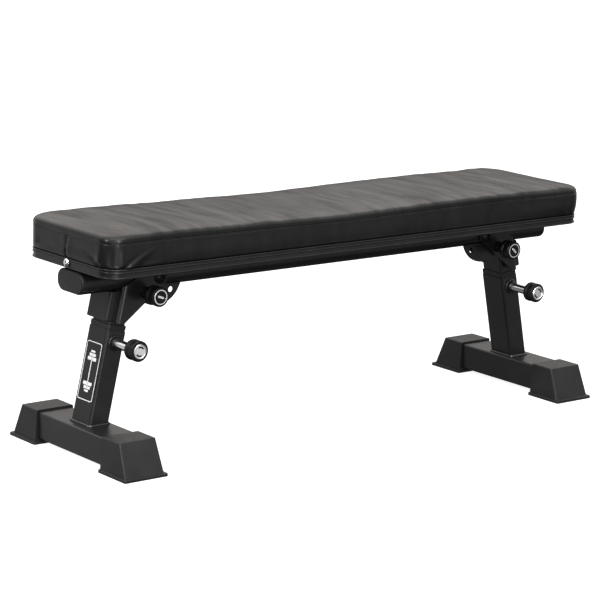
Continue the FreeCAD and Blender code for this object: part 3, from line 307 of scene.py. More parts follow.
def mesh_object(name, points, faces, material, smooth=True):
    """A new object, shaded smooth unless its faces are flat."""
    mesh = bpy.data.meshes.new(name)
    mesh.from_pydata([tuple(p) for p in points], [], faces)
    mesh.update()
    mesh.materials.append(material)
    if smooth:
        mesh.shade_smooth()
    item = bpy.data.objects.new(name, mesh)
    bpy.context.scene.collection.objects.link(item)
    return item


def finish_piece(item, body):
    """Says which body carries a piece."""
    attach(item, body)


def ring_faces(rows, columns):
    """Quads between closed rings of points laid one after the other."""
    faces = []
    for row in range(rows - 1):
        for column in range(columns):
            after = (column + 1) % columns
            low, high = row * columns, (row + 1) * columns
            faces.append((low + column, low + after, high + after, high + column))
    return faces


def sweep(points, radii, sides, closed=True):
    """A tube round a path, with its own radius at each point."""
    count = len(points)
    verts = []
    for index, point in enumerate(points):
        before = points[index - 1] if closed or index > 0 else point
        after = points[(index + 1) % count] if closed or index < count - 1 else point
        heading = (Vector(after) - Vector(before)).normalized()
        helper = Vector((0, 0, 1)) if abs(heading.z) < 0.9 else Vector((1, 0, 0))
        side = heading.cross(helper).normalized()
        rise = side.cross(heading).normalized()
        for step in range(sides):
            angle = 2 * math.pi * step / sides
            away = (side * math.cos(angle) + rise * math.sin(angle)) * radii[index]
            verts.append(Vector(point) + away)
    faces = ring_faces(count, sides)
    if closed:
        last = (count - 1) * sides
        for step in range(sides):
            after = (step + 1) % sides
            faces.append((last + step, last + after, after, step))
    else:
        faces.append(tuple(reversed(range(sides))))
        faces.append(tuple(range((count - 1) * sides, count * sides)))
    return verts, faces


def resample(points, spacing, closed):
    """Points at even steps along a path of straight runs."""
    path = [Vector(p) for p in points]
    if closed:
        path.append(path[0].copy())
    lengths = [0.0]
    for first, second in zip(path, path[1:]):
        lengths.append(lengths[-1] + (second - first).length)
    count = max(4, round(lengths[-1] / spacing))
    steps = [lengths[-1] * n / count for n in range(count if closed else count + 1)]
    result, run = [], 0
    for step in steps:
        while run < len(path) - 2 and lengths[run + 1] < step:
            run += 1
        share = (step - lengths[run]) / max(lengths[run + 1] - lengths[run], 1e-9)
        result.append(path[run].lerp(path[run + 1], share))
    return result


def merged(parts):
    """Several (points, faces) pairs as one."""
    verts, faces = [], []
    for more_verts, more_faces in parts:
        start = len(verts)
        verts.extend(more_verts)
        faces.extend(tuple(start + index for index in face) for face in more_faces)
    return verts, faces


# --- the sewn cushion -------------------------------------------------------------------------
# The cover is a closed form of rings round the pad's plan. A ring has an inset from the plan's
# outline and a height. The rings climb the side, roll over the top seam and close on the middle.

cover_low, cover_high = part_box("pad_cover")
HALF_LENGTH = (cover_high.x - cover_low.x) / 2
HALF_WIDTH = (cover_high.y - cover_low.y) / 2
PAD_BOTTOM, PAD_TOP = cover_low.z, cover_high.z
PAD_MIDDLE = (cover_low + cover_high) / 2
CORNER = 35 * MM
SEAM_HEIGHT = PAD_TOP - 13 * MM
ROLL = 12 * MM
# the roll's section is squarer than a quarter circle, which has 1
ROLL_SQUARE = 0.55
# what stands for a ring's share of the side's height once it is past the seam
ON_ROLL, ON_TOP = 2.0, 3.0


def smooth_step(value, start, stop):
    """0 before start and 1 after stop, with a soft turn at both."""
    share = np.clip((value - start) / (stop - start), 0.0, 1.0)
    return share * share * (3 - 2 * share)


def bell(value, centre, width):
    """1 at the centre, falling off smoothly to both sides."""
    return np.exp(-(((value - centre) / width) ** 2))


def plan_samples(long_step, corner_step, end_step):
    """Where the rings' points stand round the plan: (kind, side signs, share or angle)."""
    long_count = round(2 * (HALF_LENGTH - CORNER) / long_step)
    corner_count = round(CORNER * math.pi / 2 / corner_step)
    half_end = HALF_WIDTH - CORNER
    end_spots = []
    spot = 0.0
    while spot < half_end - end_step * 0.6:
        end_spots.append(spot)
        spot += min(end_step, 0.5 * MM + spot * 0.35)
    end_spots.append(half_end)
    end_shares = sorted({-s / half_end for s in end_spots} | {s / half_end for s in end_spots})
    long_shares = [2 * n / long_count - 1 for n in range(long_count + 1)]
    corner_angles = [math.pi / 2 * n / corner_count for n in range(1, corner_count)]
    samples = []
    samples += [("long", 1, -1, share) for share in long_shares]
    samples += [("corner", 1, -1, angle - math.pi / 2) for angle in corner_angles]
    samples += [("end", 1, 1, share) for share in end_shares]
    samples += [("corner", 1, 1, angle) for angle in corner_angles]
    samples += [("long", 1, 1, -share) for share in long_shares]
    samples += [("corner", -1, 1, angle + math.pi / 2) for angle in corner_angles]
    samples += [("end", -1, 1, -share) for share in end_shares]
    samples += [("corner", -1, -1, angle + math.pi) for angle in corner_angles]
    return samples


def plan_ring(samples, inset):
    """Points and outward directions of the plan's outline, moved in by inset."""
    radius = max(CORNER - inset, 0.0)
    reach_x = HALF_LENGTH - max(CORNER, inset)
    reach_y = HALF_WIDTH - max(CORNER, inset)
    points, outward = [], []
    for kind, sign_x, sign_y, share in samples:
        if kind == "long":
            points.append((share * reach_x, sign_y * (reach_y + radius)))
            outward.append((0.0, sign_y))
        elif kind == "end":
            points.append((sign_x * (reach_x + radius), share * reach_y))
            outward.append((sign_x, 0.0))
        else:
            away = (math.cos(share), math.sin(share))
            points.append((sign_x * reach_x + radius * away[0], sign_y * reach_y + radius * away[1]))
            outward.append(away)
    return np.array(points), np.array(outward)


def corner_distance(points, outward):
    """Signed walk from the nearest corner's middle: + towards the long side, - towards the end."""
    aside = np.abs(points[:, 1]) - (HALF_WIDTH - CORNER)
    along = np.abs(points[:, 0]) - (HALF_LENGTH - CORNER)
    quarter = CORNER * math.pi / 4
    turn = np.arctan2(np.abs(outward[:, 1]), np.abs(outward[:, 0])) - math.pi / 4
    walk = CORNER * turn
    walk = np.where(along < 0, quarter - along, walk)
    return np.where((aside < 0) & (along >= 0), -quarter + aside, walk)


def cover_rows(fine):
    """(inset, height, share) of each ring; the share climbs from 0 at the bottom to 1 at the seam."""
    rows = [(4.5 * MM, PAD_BOTTOM + 0.6 * MM, -0.02), (1.6 * MM, PAD_BOTTOM + 0.8 * MM, 0.0)]
    climb = SEAM_HEIGHT - PAD_BOTTOM
    side_count = 26 if fine else 7
    for step in range(1, side_count):
        share = step / side_count
        if fine:
            share = 0.5 - 0.5 * math.cos(math.pi * share)
        rows.append((0.0, PAD_BOTTOM + 0.8 * MM + (climb - 0.8 * MM) * share, share))
    if fine:
        for drop in (1.2, 0.7, 0.3):
            rows.append((0.0, SEAM_HEIGHT - drop * MM, 1 - drop * MM / climb))
        rows.sort(key=lambda row: row[2])
    rows.append((0.0, SEAM_HEIGHT, 1.0))
    roll_rise = PAD_TOP - SEAM_HEIGHT
    roll_angles = [1, 3, 7, 13, 20, 28, 36, 45, 54, 62, 70, 78, 85, 90] if fine else [25, 55, 90]
    for degrees in roll_angles:
        angle = math.radians(degrees)
        inset = ROLL * (1 - max(math.cos(angle), 0.0) ** ROLL_SQUARE)
        rows.append((inset, SEAM_HEIGHT + roll_rise * math.sin(angle) ** ROLL_SQUARE, ON_ROLL))
    insets = [14, 17, 20, 24, 28, 31, 33] if fine else [22]
    rows += [(inset * MM, PAD_TOP, ON_TOP) for inset in insets]
    rows.append((CORNER, PAD_TOP, ON_TOP))
    return rows


def top_shares(samples):
    """How the grid on top is divided along the length and across the width."""
    along = [share for kind, _, sign_y, share in samples if kind == "long" and sign_y < 0]
    across = [share for kind, sign_x, _, share in samples if kind == "end" and sign_x > 0]
    return along, across


def grid_spots(samples):
    """The grid place (column, row) that each point of the last ring meets."""
    along, across = top_shares(samples)
    last_x, last_y = len(along) - 1, len(across) - 1
    spots = []
    counts = {}
    for kind, sign_x, sign_y, _ in samples:
        key = (kind, sign_x, sign_y)
        number = counts.get(key, 0)
        counts[key] = number + 1
        if kind == "long":
            spots.append((number, 0) if sign_y < 0 else (last_x - number, last_y))
        elif kind == "end":
            spots.append((last_x, number) if sign_x > 0 else (0, last_y - number))
        else:
            spots.append((last_x if sign_x > 0 else 0, last_y if sign_y > 0 else 0))
    return spots


def cover_faces(samples, row_count):
    """Quads between the rings, the grid on top and a closing face below."""
    columns = len(samples)
    along, across = top_shares(samples)
    first = (row_count - 1) * columns
    faces = ring_faces(row_count - 1, columns)
    ids = [first + j * len(along) + i for i, j in grid_spots(samples)]
    below = first - columns
    for column in range(columns):
        after = (column + 1) % columns
        corners = [below + column, below + after, ids[after], ids[column]]
        if corners[2] == corners[3]:
            corners.pop()
        faces.append(tuple(corners))
    for j in range(len(across) - 1):
        for i in range(len(along) - 1):
            low = first + j * len(along) + i
            faces.append((low, low + 1, low + 1 + len(along), low + len(along)))
    faces.append(tuple(reversed(range(columns))))
    return faces


def length_wave(x):
    """The length's own ups and downs: a raised near part and a worn hollow past the middle."""
    return (2.4 * bell(x, -0.44, 0.10) - 3.6 * bell(x, -0.04, 0.15) + 0.8 * bell(x, 0.33, 0.12)) * MM


def crown(x, y):
    """How much higher the stuffed top stands away from its edges."""
    across = 1 - np.clip(np.abs(y) / HALF_WIDTH, 0, 1) ** 2.6
    along = 1 - np.clip(np.abs(x) / HALF_LENGTH, 0, 1) ** 14
    return 2.2 * MM * across * along


def cover_points(samples, rows, sag=None):
    """The cover's points, ring by ring and then the top's grid, in the plan's own frame."""
    result = []
    outline, outline_out = plan_ring(samples, 0.0)
    walk = corner_distance(outline, outline_out)
    far_share = smooth_step(outline[:, 0], 0.25, HALF_LENGTH)
    is_end = np.array([kind == "end" for kind, *_ in samples])
    for number, (inset, height, share) in enumerate(rows):
        flat, outward = plan_ring(samples, inset)
        x, y = flat[:, 0], flat[:, 1]
        push = np.zeros(len(samples))
        z = np.full(len(samples), height)
        on_side = 0.0 <= share <= 1.0
        lift = float(smooth_step(np.array(height), PAD_BOTTOM + 22 * MM, PAD_TOP - 6 * MM))
        z += length_wave(x) * lift
        if on_side:
            belly = math.sin(math.pi * min(max(share, 0.0), 1.0)) ** 0.75
            bulge = 1.5 + 2.4 * far_share + 0.8 * np.sin(x * 9.0 + 1.3) * np.sin(x * 4.1)
            push += bulge * belly * MM
            push += (0.5 + 2.6 * far_share) * share * MM
            push -= 2.0 * math.exp(-share * 26) * MM
            push -= corner_pull(walk, share) * MM
            push += corner_folds(x, y, walk, share) * MM
            if share > 0.9:
                push -= 1.0 * bell(share, 1.0, 0.022) * MM
        elif share == ON_ROLL:
            over = (height - SEAM_HEIGHT) / (PAD_TOP - SEAM_HEIGHT)
            push += (0.5 + 2.6 * far_share) * (1 - over) * MM
            push -= 1.0 * bell(over, 0.0, 0.10) * MM
            push += corner_puckers(walk, over) * MM
            z += 0.6 * bell(over, 0.35, 0.3) * MM
        if share in (ON_ROLL, ON_TOP):
            z += crown(x, y)
            z -= 1.5 * MM * bell(walk, 0.0, 0.03) * max(0.0, 1 - inset / CORNER) ** 2
        if on_side:
            seam = bell(y, 0.0, 1.4 * MM) * is_end
            puff = bell(np.abs(y), 9 * MM, 7 * MM) * is_end
            push += (0.25 * puff - 4.0 * seam) * MM * min(1.0, max(0.0, (1.0 - share) * 12))
        row = np.column_stack([x + outward[:, 0] * push, y + outward[:, 1] * push, z])
        if sag is not None:
            row += sag[0][number]
        result.append(row)
    along, across = top_shares(samples)
    y, x = np.meshgrid(
        np.array(across) * (HALF_WIDTH - CORNER), np.array(along) * (HALF_LENGTH - CORNER), indexing="ij"
    )
    z = PAD_TOP + length_wave(x) + crown(x, y)
    top = np.column_stack([x.ravel(), y.ravel(), z.ravel()])
    if sag is not None:
        top += sag[1].reshape(-1, 3)
    points = np.vstack(result[:-1] + [top])
    points[:, 0] += PAD_MIDDLE.x
    points[:, 1] += PAD_MIDDLE.y
    return points


def corner_pull(walk, share):
    """How far the tight cover draws the side in at a corner."""
    belly = 0.3 + 0.7 * math.sin(math.pi * share)
    return (1.2 * bell(walk, 0.0, 0.022) + 0.7 * bell(walk, 0.0, 0.006)) * belly


# a fold is steep on the corner's side and fades this many times slower on the other side
FOLD_TAIL = 3.5
# start and end of a fold, from the corner's middle in mm and up the side, its height and width
FOLDS = (
    (30, 84, -0.05, 0.80, 4.2, 4.2),
    (-33, -88, -0.02, 0.62, 0.8, 8.0),
    (19, 23, 0.04, 0.90, 1.0, 6.0),
    (-12, -14, 0.06, 0.90, 0.8, 6.0),
    (62, 150, 0.0, 0.40, 0.35, 7.0),
)


def corner_folds(x, y, walk, share):
    """Ridges with a crease beside them that run up and away from each bottom corner."""
    total = np.zeros(len(walk))
    for number, (start, stop, low, high, height, width) in enumerate(FOLDS):
        along = (share - low) / (high - low)
        if not 0.0 < along < 1.0:
            continue
        strength = (1 - along) ** 0.7 * min(1.0, 0.2 + along * 10)
        centre = (start + (stop - start) * along**1.5) * MM
        own = np.where((x < 0) & (y < 0), 1.0, 0.28 + 0.10 * math.sin(number * 2.1))
        side = 1.0 if start >= 0 else -1.0
        away = side * (walk - centre) / (width * MM)
        ridge = bell(np.where(away < 0, away, away / FOLD_TAIL), 0.0, 1.0)
        crease = bell(walk, centre - side * width * 1.5 * MM, width * 0.8 * MM)
        total += own * height * strength * (ridge - 0.75 * crease)
    return total


def corner_puckers(walk, over):
    """Small gathers where the seam turns a corner."""
    turned = walk - 5 * MM
    return -0.5 * np.cos(turned / 0.029 * 2 * math.pi) * bell(turned, 0.0, 0.026) * bell(over, 0.3, 0.4)


def inflated_sag(samples, rows):
    """Blows up a coarse closed cover as cloth and returns how each of its points moves."""
    columns = len(samples)
    points = cover_points(samples, rows)
    faces = cover_faces(samples, len(rows))
    item = mesh_object("inflated_form", points, faces, materials["pad_vinyl"])
    pinned = item.vertex_groups.new(name="stapled")
    pinned.add(list(range(columns * 2)), 1.0, "REPLACE")
    cloth = item.modifiers.new("inflate", "CLOTH")
    settings = cloth.settings
    settings.quality = 6
    settings.vertex_group_mass = "stapled"
    settings.use_pressure = True
    settings.uniform_pressure_force = 4.0
    settings.tension_stiffness = 22.0
    settings.compression_stiffness = 22.0
    settings.shear_stiffness = 12.0
    settings.bending_stiffness = 3.0
    settings.effector_weights.gravity = 0.0
    cloth.collision_settings.use_collision = False
    scene = bpy.context.scene
    for step in range(1, 21):
        scene.frame_set(step)
    evaluated = item.evaluated_get(bpy.context.evaluated_depsgraph_get())
    moved = np.zeros(len(points) * 3)
    evaluated.data.vertices.foreach_get("co", moved)
    sag = moved.reshape(-1, 3) - points
    bpy.data.objects.remove(item, do_unlink=True)
    scene.frame_set(1)
    length = np.linalg.norm(sag, axis=1, keepdims=True)
    cap = 1.6 * MM
    sag *= cap * np.tanh(length / cap) / np.maximum(length, 1e-9)
    along, across = top_shares(samples)
    split = (len(rows) - 1) * columns
    top = sag[split:].reshape(len(across), len(along), 3)
    last = np.array([top[j, i] for i, j in grid_spots(samples)])
    rings = np.concatenate([sag[:split].reshape(len(rows) - 1, columns, 3), last[None]])
    return rings, top


def spread_sag(coarse_samples, coarse_rows, sag, samples, rows):
    """Carries the coarse form's movement over to the fine rings and grid."""
    rings, top = sag

    def steps(sampled):
        """Each point's share of the way round the plan."""
        outline, _ = plan_ring(sampled, 0.0)
        gaps = np.linalg.norm(np.roll(outline, -1, axis=0) - outline, axis=1)
        return np.concatenate([[0.0], np.cumsum(gaps)])[:-1] / gaps.sum()

    def climbs(some_rows):
        """Each ring's distance from the first, along the section."""
        spots = np.array([(inset, height) for inset, height, _ in some_rows])
        return np.concatenate([[0.0], np.cumsum(np.linalg.norm(np.diff(spots, axis=0), axis=1))])

    coarse_round, fine_round = steps(coarse_samples), steps(samples)
    coarse_up, fine_up = climbs(coarse_rows), climbs(rows)
    around = np.zeros((len(coarse_rows), len(samples), 3))
    for row in range(len(coarse_rows)):
        for axis in range(3):
            around[row, :, axis] = np.interp(fine_round, coarse_round, rings[row, :, axis], period=1.0)
    result = np.zeros((len(rows), len(samples), 3))
    for axis in range(3):
        for column in range(len(samples)):
            result[:, column, axis] = np.interp(fine_up, coarse_up, around[:, column, axis])
    coarse_along, coarse_across = top_shares(coarse_samples)
    along, across = top_shares(samples)
    grid = np.zeros((len(across), len(along), 3))
    for axis in range(3):
        part = np.array([np.interp(along, coarse_along, line) for line in top[:, :, axis]])
        for column in range(len(along)):
            grid[:, column, axis] = np.interp(across, coarse_across, part[:, column])
    return result, grid


def make_cover():
    """The cushion's cover; returns its rings, which the seams follow."""
    samples = plan_samples(5 * MM, 1.6 * MM, 3.2 * MM)
    rows = cover_rows(True)
    sag = None
    coarse_samples = plan_samples(14 * MM, 7 * MM, 12 * MM)
    coarse_rows = cover_rows(False)
    coarse_sag = inflated_sag(coarse_samples, coarse_rows)
    sag = spread_sag(coarse_samples, coarse_rows, coarse_sag, samples, rows)
    points = cover_points(samples, rows, sag)
    for index, point in enumerate(points):
        spot = Vector(point)
        lumps = noise.noise(spot * 22.0) * 0.30 + noise.noise(spot * 60.0) * 0.08
        across = (spot.x + 0.10 * spot.y) * 42.0
        ripples = noise.noise(Vector((across, spot.y * 4.0, 2.7)))
        ripples += 0.35 * noise.noise(Vector((across * 2.6, spot.y * 7.0, 5.1)))
        worn = 0.55 + bell(spot.x, -0.30, 0.16) + bell(spot.x, 0.42, 0.12)
        rise = smooth_step(point[2], PAD_BOTTOM, PAD_BOTTOM + 12 * MM)
        over = smooth_step(point[2], SEAM_HEIGHT + 6 * MM, PAD_TOP)
        points[index, 2] += (lumps * rise + 0.80 * worn * ripples * over) * MM
    columns = len(samples)
    cover = mesh_object("cushion_cover", points, cover_faces(samples, len(rows)), materials["pad_vinyl"])
    finish_piece(cover, "bench_top")
    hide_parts("pad_cover", "pad_foam")
    seam_row = next(number for number, row in enumerate(rows) if row[2] == 1.0)
    rings = points[: (len(rows) - 1) * columns].reshape(len(rows) - 1, columns, 3)
    return rings, rows, samples, seam_row


def make_seams(grid, rows, samples, seam_row):
    """A raised welt along the top seam, and stitches under it."""
    _, outward = plan_ring(samples, 0.0)
    out3 = np.column_stack([outward, np.zeros(len(outward))])
    path = grid[seam_row] + out3 * 0.45 * MM
    spaced = resample(path, 3.0 * MM, True)
    welt = sweep(spaced, [0.95 * MM] * len(spaced), 8)
    item = mesh_object("seam_welt", *welt, materials["pad_vinyl"])
    finish_piece(item, "bench_top")
    stitch_row = next(n for n, row in enumerate(rows) if row[2] >= 0.925 and row[2] <= 1.0)
    line = resample(grid[stitch_row] + out3 * 0.12 * MM, 4.0 * MM, True)
    stitches = [stitch(line[n], line[(n + 1) % len(line)]) for n in range(len(line))]
    item = mesh_object("seam_stitches", *merged(stitches), thread_material)
    finish_piece(item, "bench_top")


def stitch(first, second):
    """One short stitch that dips into the cloth at both ends."""
    steps = ((0.10, 0.10), (0.2, 0.30), (0.5, 0.36), (0.8, 0.30), (0.90, 0.10))
    points = [Vector(first).lerp(Vector(second), share) for share, _ in steps]
    return sweep(points, [radius * MM for _, radius in steps], 6, False)


grid, cover_row_list, cover_samples, seam_row = make_cover()
make_seams(grid, cover_row_list, cover_samples, seam_row)


# --- welds ------------------------------------------------------------------------------------


# half of the outer tube's depth, along the bench
HALF_DEPTH = 20 * MM


def weld(name, points, radius, body, closed, seed):
    """A rippled bead along a path."""
    spacing, ripple_length = 0.9 * MM, 3.1 * MM
    path = resample(points, spacing, closed)
    draw = random.Random(seed)
    phase = draw.random() * 6
    radii = []
    for number in range(len(path)):
        ripple = 0.10 * math.cos(number * spacing / ripple_length * 2 * math.pi + phase)
        radii.append(radius * (1 + ripple + draw.uniform(-0.03, 0.03)))
    if not closed:
        radii[0] *= 0.4
        radii[-1] *= 0.4
    item = mesh_object(name, *sweep(path, radii, 8, closed), weld_coat)
    finish_piece(item, body)


def rounded_loop(half_a, half_b, corner):
    """A rounded rectangle as (a, b) pairs."""
    steps = 5
    spots = []
    for sign_a, sign_b, start in ((1, -1, -90), (1, 1, 0), (-1, 1, 90), (-1, -1, 180)):
        for step in range(steps + 1):
            angle = math.radians(start + 90 * step / steps)
            spots.append(
                (
                    sign_a * (half_a - corner) + corner * math.cos(angle),
                    sign_b * (half_b - corner) + corner * math.sin(angle),
                )
            )
    return spots


def leg_frame(end):
    """The leg's own directions: out from the bench across the leg, and up the leg."""
    axis = Vector(joints[f"{end}_leg_extension"]["axis"]).normalized()
    sign = dict(ENDS)[end]
    return Vector((axis.z * sign, 0, -axis.x * sign)), axis


def make_base_weld(end, sign):
    """The bead round the outer tube's foot, where it meets the cross tube's top."""
    bead, stand_off, lift, corner = 2.9 * MM, 0.6 * MM, 0.8 * MM, 5.5 * MM
    _, up = leg_frame(end)
    low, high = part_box(f"{end}_outer_tube")
    edge = max(abs(low.x), abs(high.x))
    centre = edge - HALF_DEPTH / up.z
    origin = Vector((sign * centre, 0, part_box(f"{end}_cross_tube")[1].z))
    half_width = high.y
    outline = rounded_loop(HALF_DEPTH / up.z + stand_off, half_width + stand_off, corner)
    loop = [(origin.x + along, aside, origin.z + lift) for along, aside in outline]
    weld(f"{end}_base_weld", loop, bead, f"{end}_lower_leg", True, 3 + sign)


def make_boss_weld(end, sign):
    """The bead round the height pin's boss, on the outer tube."""
    bead, stand_off, sunk, steps = 2.2 * MM, 0.7 * MM, 0.4 * MM, 40
    low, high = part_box(f"{end}_height_boss")
    boss = (low + high) / 2
    reach = (high.x - low.x) / 2 + stand_off
    ring = []
    for step in range(steps):
        angle = 2 * math.pi * step / steps
        ring.append((boss.x + reach * math.cos(angle), high.y - sunk, boss.z + reach * math.sin(angle)))
    weld(f"{end}_boss_weld", ring, bead, f"{end}_lower_leg", True, 11 + sign)


def make_lock_plate_welds(end, sign):
    """A bead on each face of the lock plate, under the spine's curved side."""
    bead, stand_off, ends_free, pin_room = 2.0 * MM, 0.4 * MM, 6 * MM, 5 * MM
    low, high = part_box(f"{end}_lock_plate")
    pin_low, pin_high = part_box(f"{end}_fold_pin")
    first, last = low.x + ends_free, high.x - ends_free
    # the back bead leaves room for the fold pin, which comes out through the plate when it locks
    back_first = first if end == "far" else pin_high.x + pin_room
    back_last = last if end == "near" else pin_low.x - pin_room
    sides = (
        ("front", low.y - stand_off, 0.2 * MM, first, last),
        ("back", high.y + stand_off, -1.6 * MM, back_first, back_last),
    )
    for side, face, rise, start, stop in sides:
        run = [(float(x), face, high.z + rise) for x in np.linspace(start, stop, 12)]
        weld(f"{end}_lock_plate_weld_{side}", run, bead, "bench_top", False, 21 + sign)


def make_strap_welds():
    """A bead along both edges of each pad strap, on the spine's flat top."""
    bead, stand_off, lift, spine_round = 1.8 * MM, 0.5 * MM, 0.6 * MM, 19 * MM
    spine_low, spine_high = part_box("spine_tube")
    reach = (spine_high.y - spine_low.y) / 2 - spine_round
    for name in ("near_outer", "near_inner", "far_inner", "far_outer"):
        low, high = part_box(f"{name}_pad_strap")
        for side, edge in (("a", low.x - stand_off), ("b", high.x + stand_off)):
            run = [(edge, float(y), spine_high.z + lift) for y in np.linspace(-reach, reach, 8)]
            weld(f"{name}_strap_weld_{side}", run, bead, "bench_top", False, 31)


make_strap_welds()
for end, sign in ENDS:
    make_base_weld(end, sign)
    make_boss_weld(end, sign)
    make_lock_plate_welds(end, sign)


# --- knob faces -------------------------------------------------------------------------------


def turned_ring(centre, section):
    """A closed ring turned about Y from (radius, distance towards the front) pairs."""
    sides = 48
    verts = []
    for step in range(sides):
        angle = 2 * math.pi * step / sides
        for radius, forward in section:
            x, z = radius * math.cos(angle), radius * math.sin(angle)
            verts.append(Vector((centre.x + x, centre.y - forward, centre.z + z)))
    count = len(section)
    faces = []
    for step in range(sides):
        this, after = step * count, (step + 1) % sides * count
        for spot in range(count):
            following = (spot + 1) % count
            faces.append((this + spot, this + following, after + following, after + spot))
    return verts, faces


def slab(centre, outline, low, high, soft):
    """A raised flat mark facing the front, from an outline of (x, z) spots about its centre."""
    count = len(outline)
    rings = ((1.0, low), (1.0, high - soft), (None, high))
    verts = []
    for scale, forward in rings:
        for x, z in outline:
            if scale is None:
                reach = math.hypot(x, z)
                shrink = (reach - soft) / reach
                x, z = x * shrink, z * shrink
            verts.append(Vector((centre.x + x, centre.y - forward, centre.z + z)))
    faces = ring_faces(3, count)
    faces.append(tuple(range(2 * count, 3 * count)))
    faces.append(tuple(reversed(range(count))))
    return verts, faces


def stadium(length, width, tilt_degrees):
    """A bar's outline with round ends, turned by the tilt."""
    steps = 10
    tilt = math.radians(tilt_degrees)
    spots = []
    for end_sign, start in ((1, -90), (-1, 90)):
        for step in range(steps + 1):
            angle = math.radians(start + 180 * step / steps)
            x = end_sign * (length - width) / 2 + width / 2 * math.cos(angle)
            z = width / 2 * math.sin(angle)
            spots.append((x * math.cos(tilt) - z * math.sin(tilt), x * math.sin(tilt) + z * math.cos(tilt)))
    return spots


def arc_band(radius, width, start, stop):
    """The outline of a band of that width along an arc, from start to stop in degrees."""
    steps = 14
    spots = []
    for step in range(steps + 1):
        angle = math.radians(start + (stop - start) * step / steps)
        spots.append(((radius + width / 2) * math.cos(angle), (radius + width / 2) * math.sin(angle)))
    for step in range(steps + 1):
        angle = math.radians(stop + (start - stop) * step / steps)
        spots.append(((radius - width / 2) * math.cos(angle), (radius - width / 2) * math.sin(angle)))
    return spots


def face_centre(node):
    """The middle of a turned piece's front face."""
    low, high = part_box(node)
    return Vector(((low.x + high.x) / 2, low.y, (low.z + high.z) / 2))


def flat_piece(name, shape, body, slot):
    """A mark with flat faces, from its (points, faces)."""
    item = mesh_object(name, *shape, materials[slot], False)
    finish_piece(item, body)


def make_knob_marks(end, tilt_degrees):
    """A bright ring and bar on the fold knob's face, and two dark arcs on the height knob's cap."""
    centre = face_centre(f"{end}_fold_knob")
    section = [(11.3, -0.3), (11.5, 0.35), (13.4, 0.35), (13.6, -0.3)]
    section = [(radius * MM, forward * MM) for radius, forward in section]
    body = f"{end}_fold_lock"
    flat_piece(f"{end}_fold_knob_ring", turned_ring(centre, section), body, "bright_steel")
    bar = stadium(13.5 * MM, 4.0 * MM, tilt_degrees)
    shape = slab(centre, bar, -0.3 * MM, 0.6 * MM, 0.25 * MM)
    flat_piece(f"{end}_fold_knob_bar", shape, body, "bright_steel")
    cap = face_centre(f"{end}_knob_cap")
    sunk, arc_length, arc_radius, arc_width = 0.7 * MM, 84, 7.9 * MM, 3.0 * MM
    for number, start in enumerate((50 + tilt_degrees, 230 + tilt_degrees)):
        arc = arc_band(arc_radius, arc_width, start, start + arc_length)
        shape = slab(cap, arc, -sunk - 0.2 * MM, -sunk + 0.12 * MM, 0.05 * MM)
        flat_piece(f"{end}_knob_cap_slot_{number + 1}", shape, f"{end}_height_lock", "knob_plastic")


make_knob_marks("near", -20)
make_knob_marks("far", -45)


# --- label ------------------------------------------------------------------------------------


def make_label():
    """A pale outline and a plain barbell sign on the label's face."""
    out, up = leg_frame("near")
    low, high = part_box("near_leg_label")
    middle = (low + high) / 2
    half_wide = (high.y - low.y) / 2
    half_tall = ((high.z - low.z) / 2) / up.z
    across = Vector((0, 1, 0))

    def on_face(a, b, lift):
        return middle + across * a + up * b + out * lift

    def mark(name, outer, inner=None):
        """A thin raised print, with a hole where there is an inner loop."""
        top, bottom = 0.38 * MM, 0.1 * MM
        verts, faces = [], []
        loops = [outer] if inner is None else [outer, inner]
        for loop in loops:
            verts += [on_face(a, b, top) for a, b in loop]
            verts += [on_face(a, b, bottom) for a, b in loop]
        count = len(outer)
        for number in range(count):
            after = (number + 1) % count
            faces.append((number, after, count + after, count + number))
            if inner is not None:
                base = 2 * count
                faces.append((base + after, base + number, base + count + number, base + count + after))
                faces.append((number, base + number, base + after, after))
        if inner is None:
            faces.append(tuple(reversed(range(count))))
        item = mesh_object(name, verts, faces, white_print, False)
        finish_piece(item, "near_lower_leg")

    edge, line = 1.6 * MM, 1.5 * MM
    outer = rounded_loop(half_wide - edge, half_tall - edge, 4.5 * MM)
    inner = rounded_loop(half_wide - edge - line, half_tall - edge - line, 3.2 * MM)
    mark("label_outline", outer, inner)
    # the barbell's bar and its plates: place along the label, width and height in mm
    bars = [(0, 2.2, 62)]
    for sign in (-1, 1):
        bars += [(sign * 22, 26, 6), (sign * 29, 19, 5), (sign * 35, 12, 3.4)]
    for number, (place, wide, tall) in enumerate(bars):
        shape = rounded_loop(wide / 2 * MM, tall / 2 * MM, min(wide, tall) * 0.25 * MM)
        mark(f"label_sign_{number + 1}", [(a, b + place * MM) for a, b in shape])


make_label()


# --- floor, light and camera ------------------------------------------------------------------


def make_floor():
    """A white floor that the camera sees and that doesn't light the bench."""
    half = 60.0
    verts = [(-half, -half, 0), (half, -half, 0), (half, half, 0), (-half, half, 0)]
    s = Surface("studio_floor", specular=0.1)
    faint = s.speckle(3.0)
    colour = s.mixed(s.spread(faint, 0.0, 1.0), (0.30, 0.30, 0.30), (0.31, 0.31, 0.31))
    s.shader.inputs["Emission Color"].default_value = (1.0, 1.0, 1.0, 1.0)
    s.shader.inputs["Emission Strength"].default_value = 0.92
    floor = mesh_object("floor", verts, [(0, 1, 2, 3)], s.done(colour, s.spread(faint, 0.7, 0.8)), False)
    floor.location.z = cad_low.z - 0.2 * MM
    floor.visible_diffuse = False
    floor.visible_glossy = False


def area_light(name, place, target, size, power):
    """A white rectangular light that faces its target."""
    data = bpy.data.lights.new(name, "AREA")
    data.shape = "RECTANGLE"
    data.size, data.size_y = size
    data.energy = power
    item = bpy.data.objects.new(name, data)
    item.location = place
    item.rotation_mode = "QUATERNION"
    item.rotation_quaternion = (Vector(target) - Vector(place)).to_track_quat("-Z", "Y")
    bpy.context.scene.collection.objects.link(item)


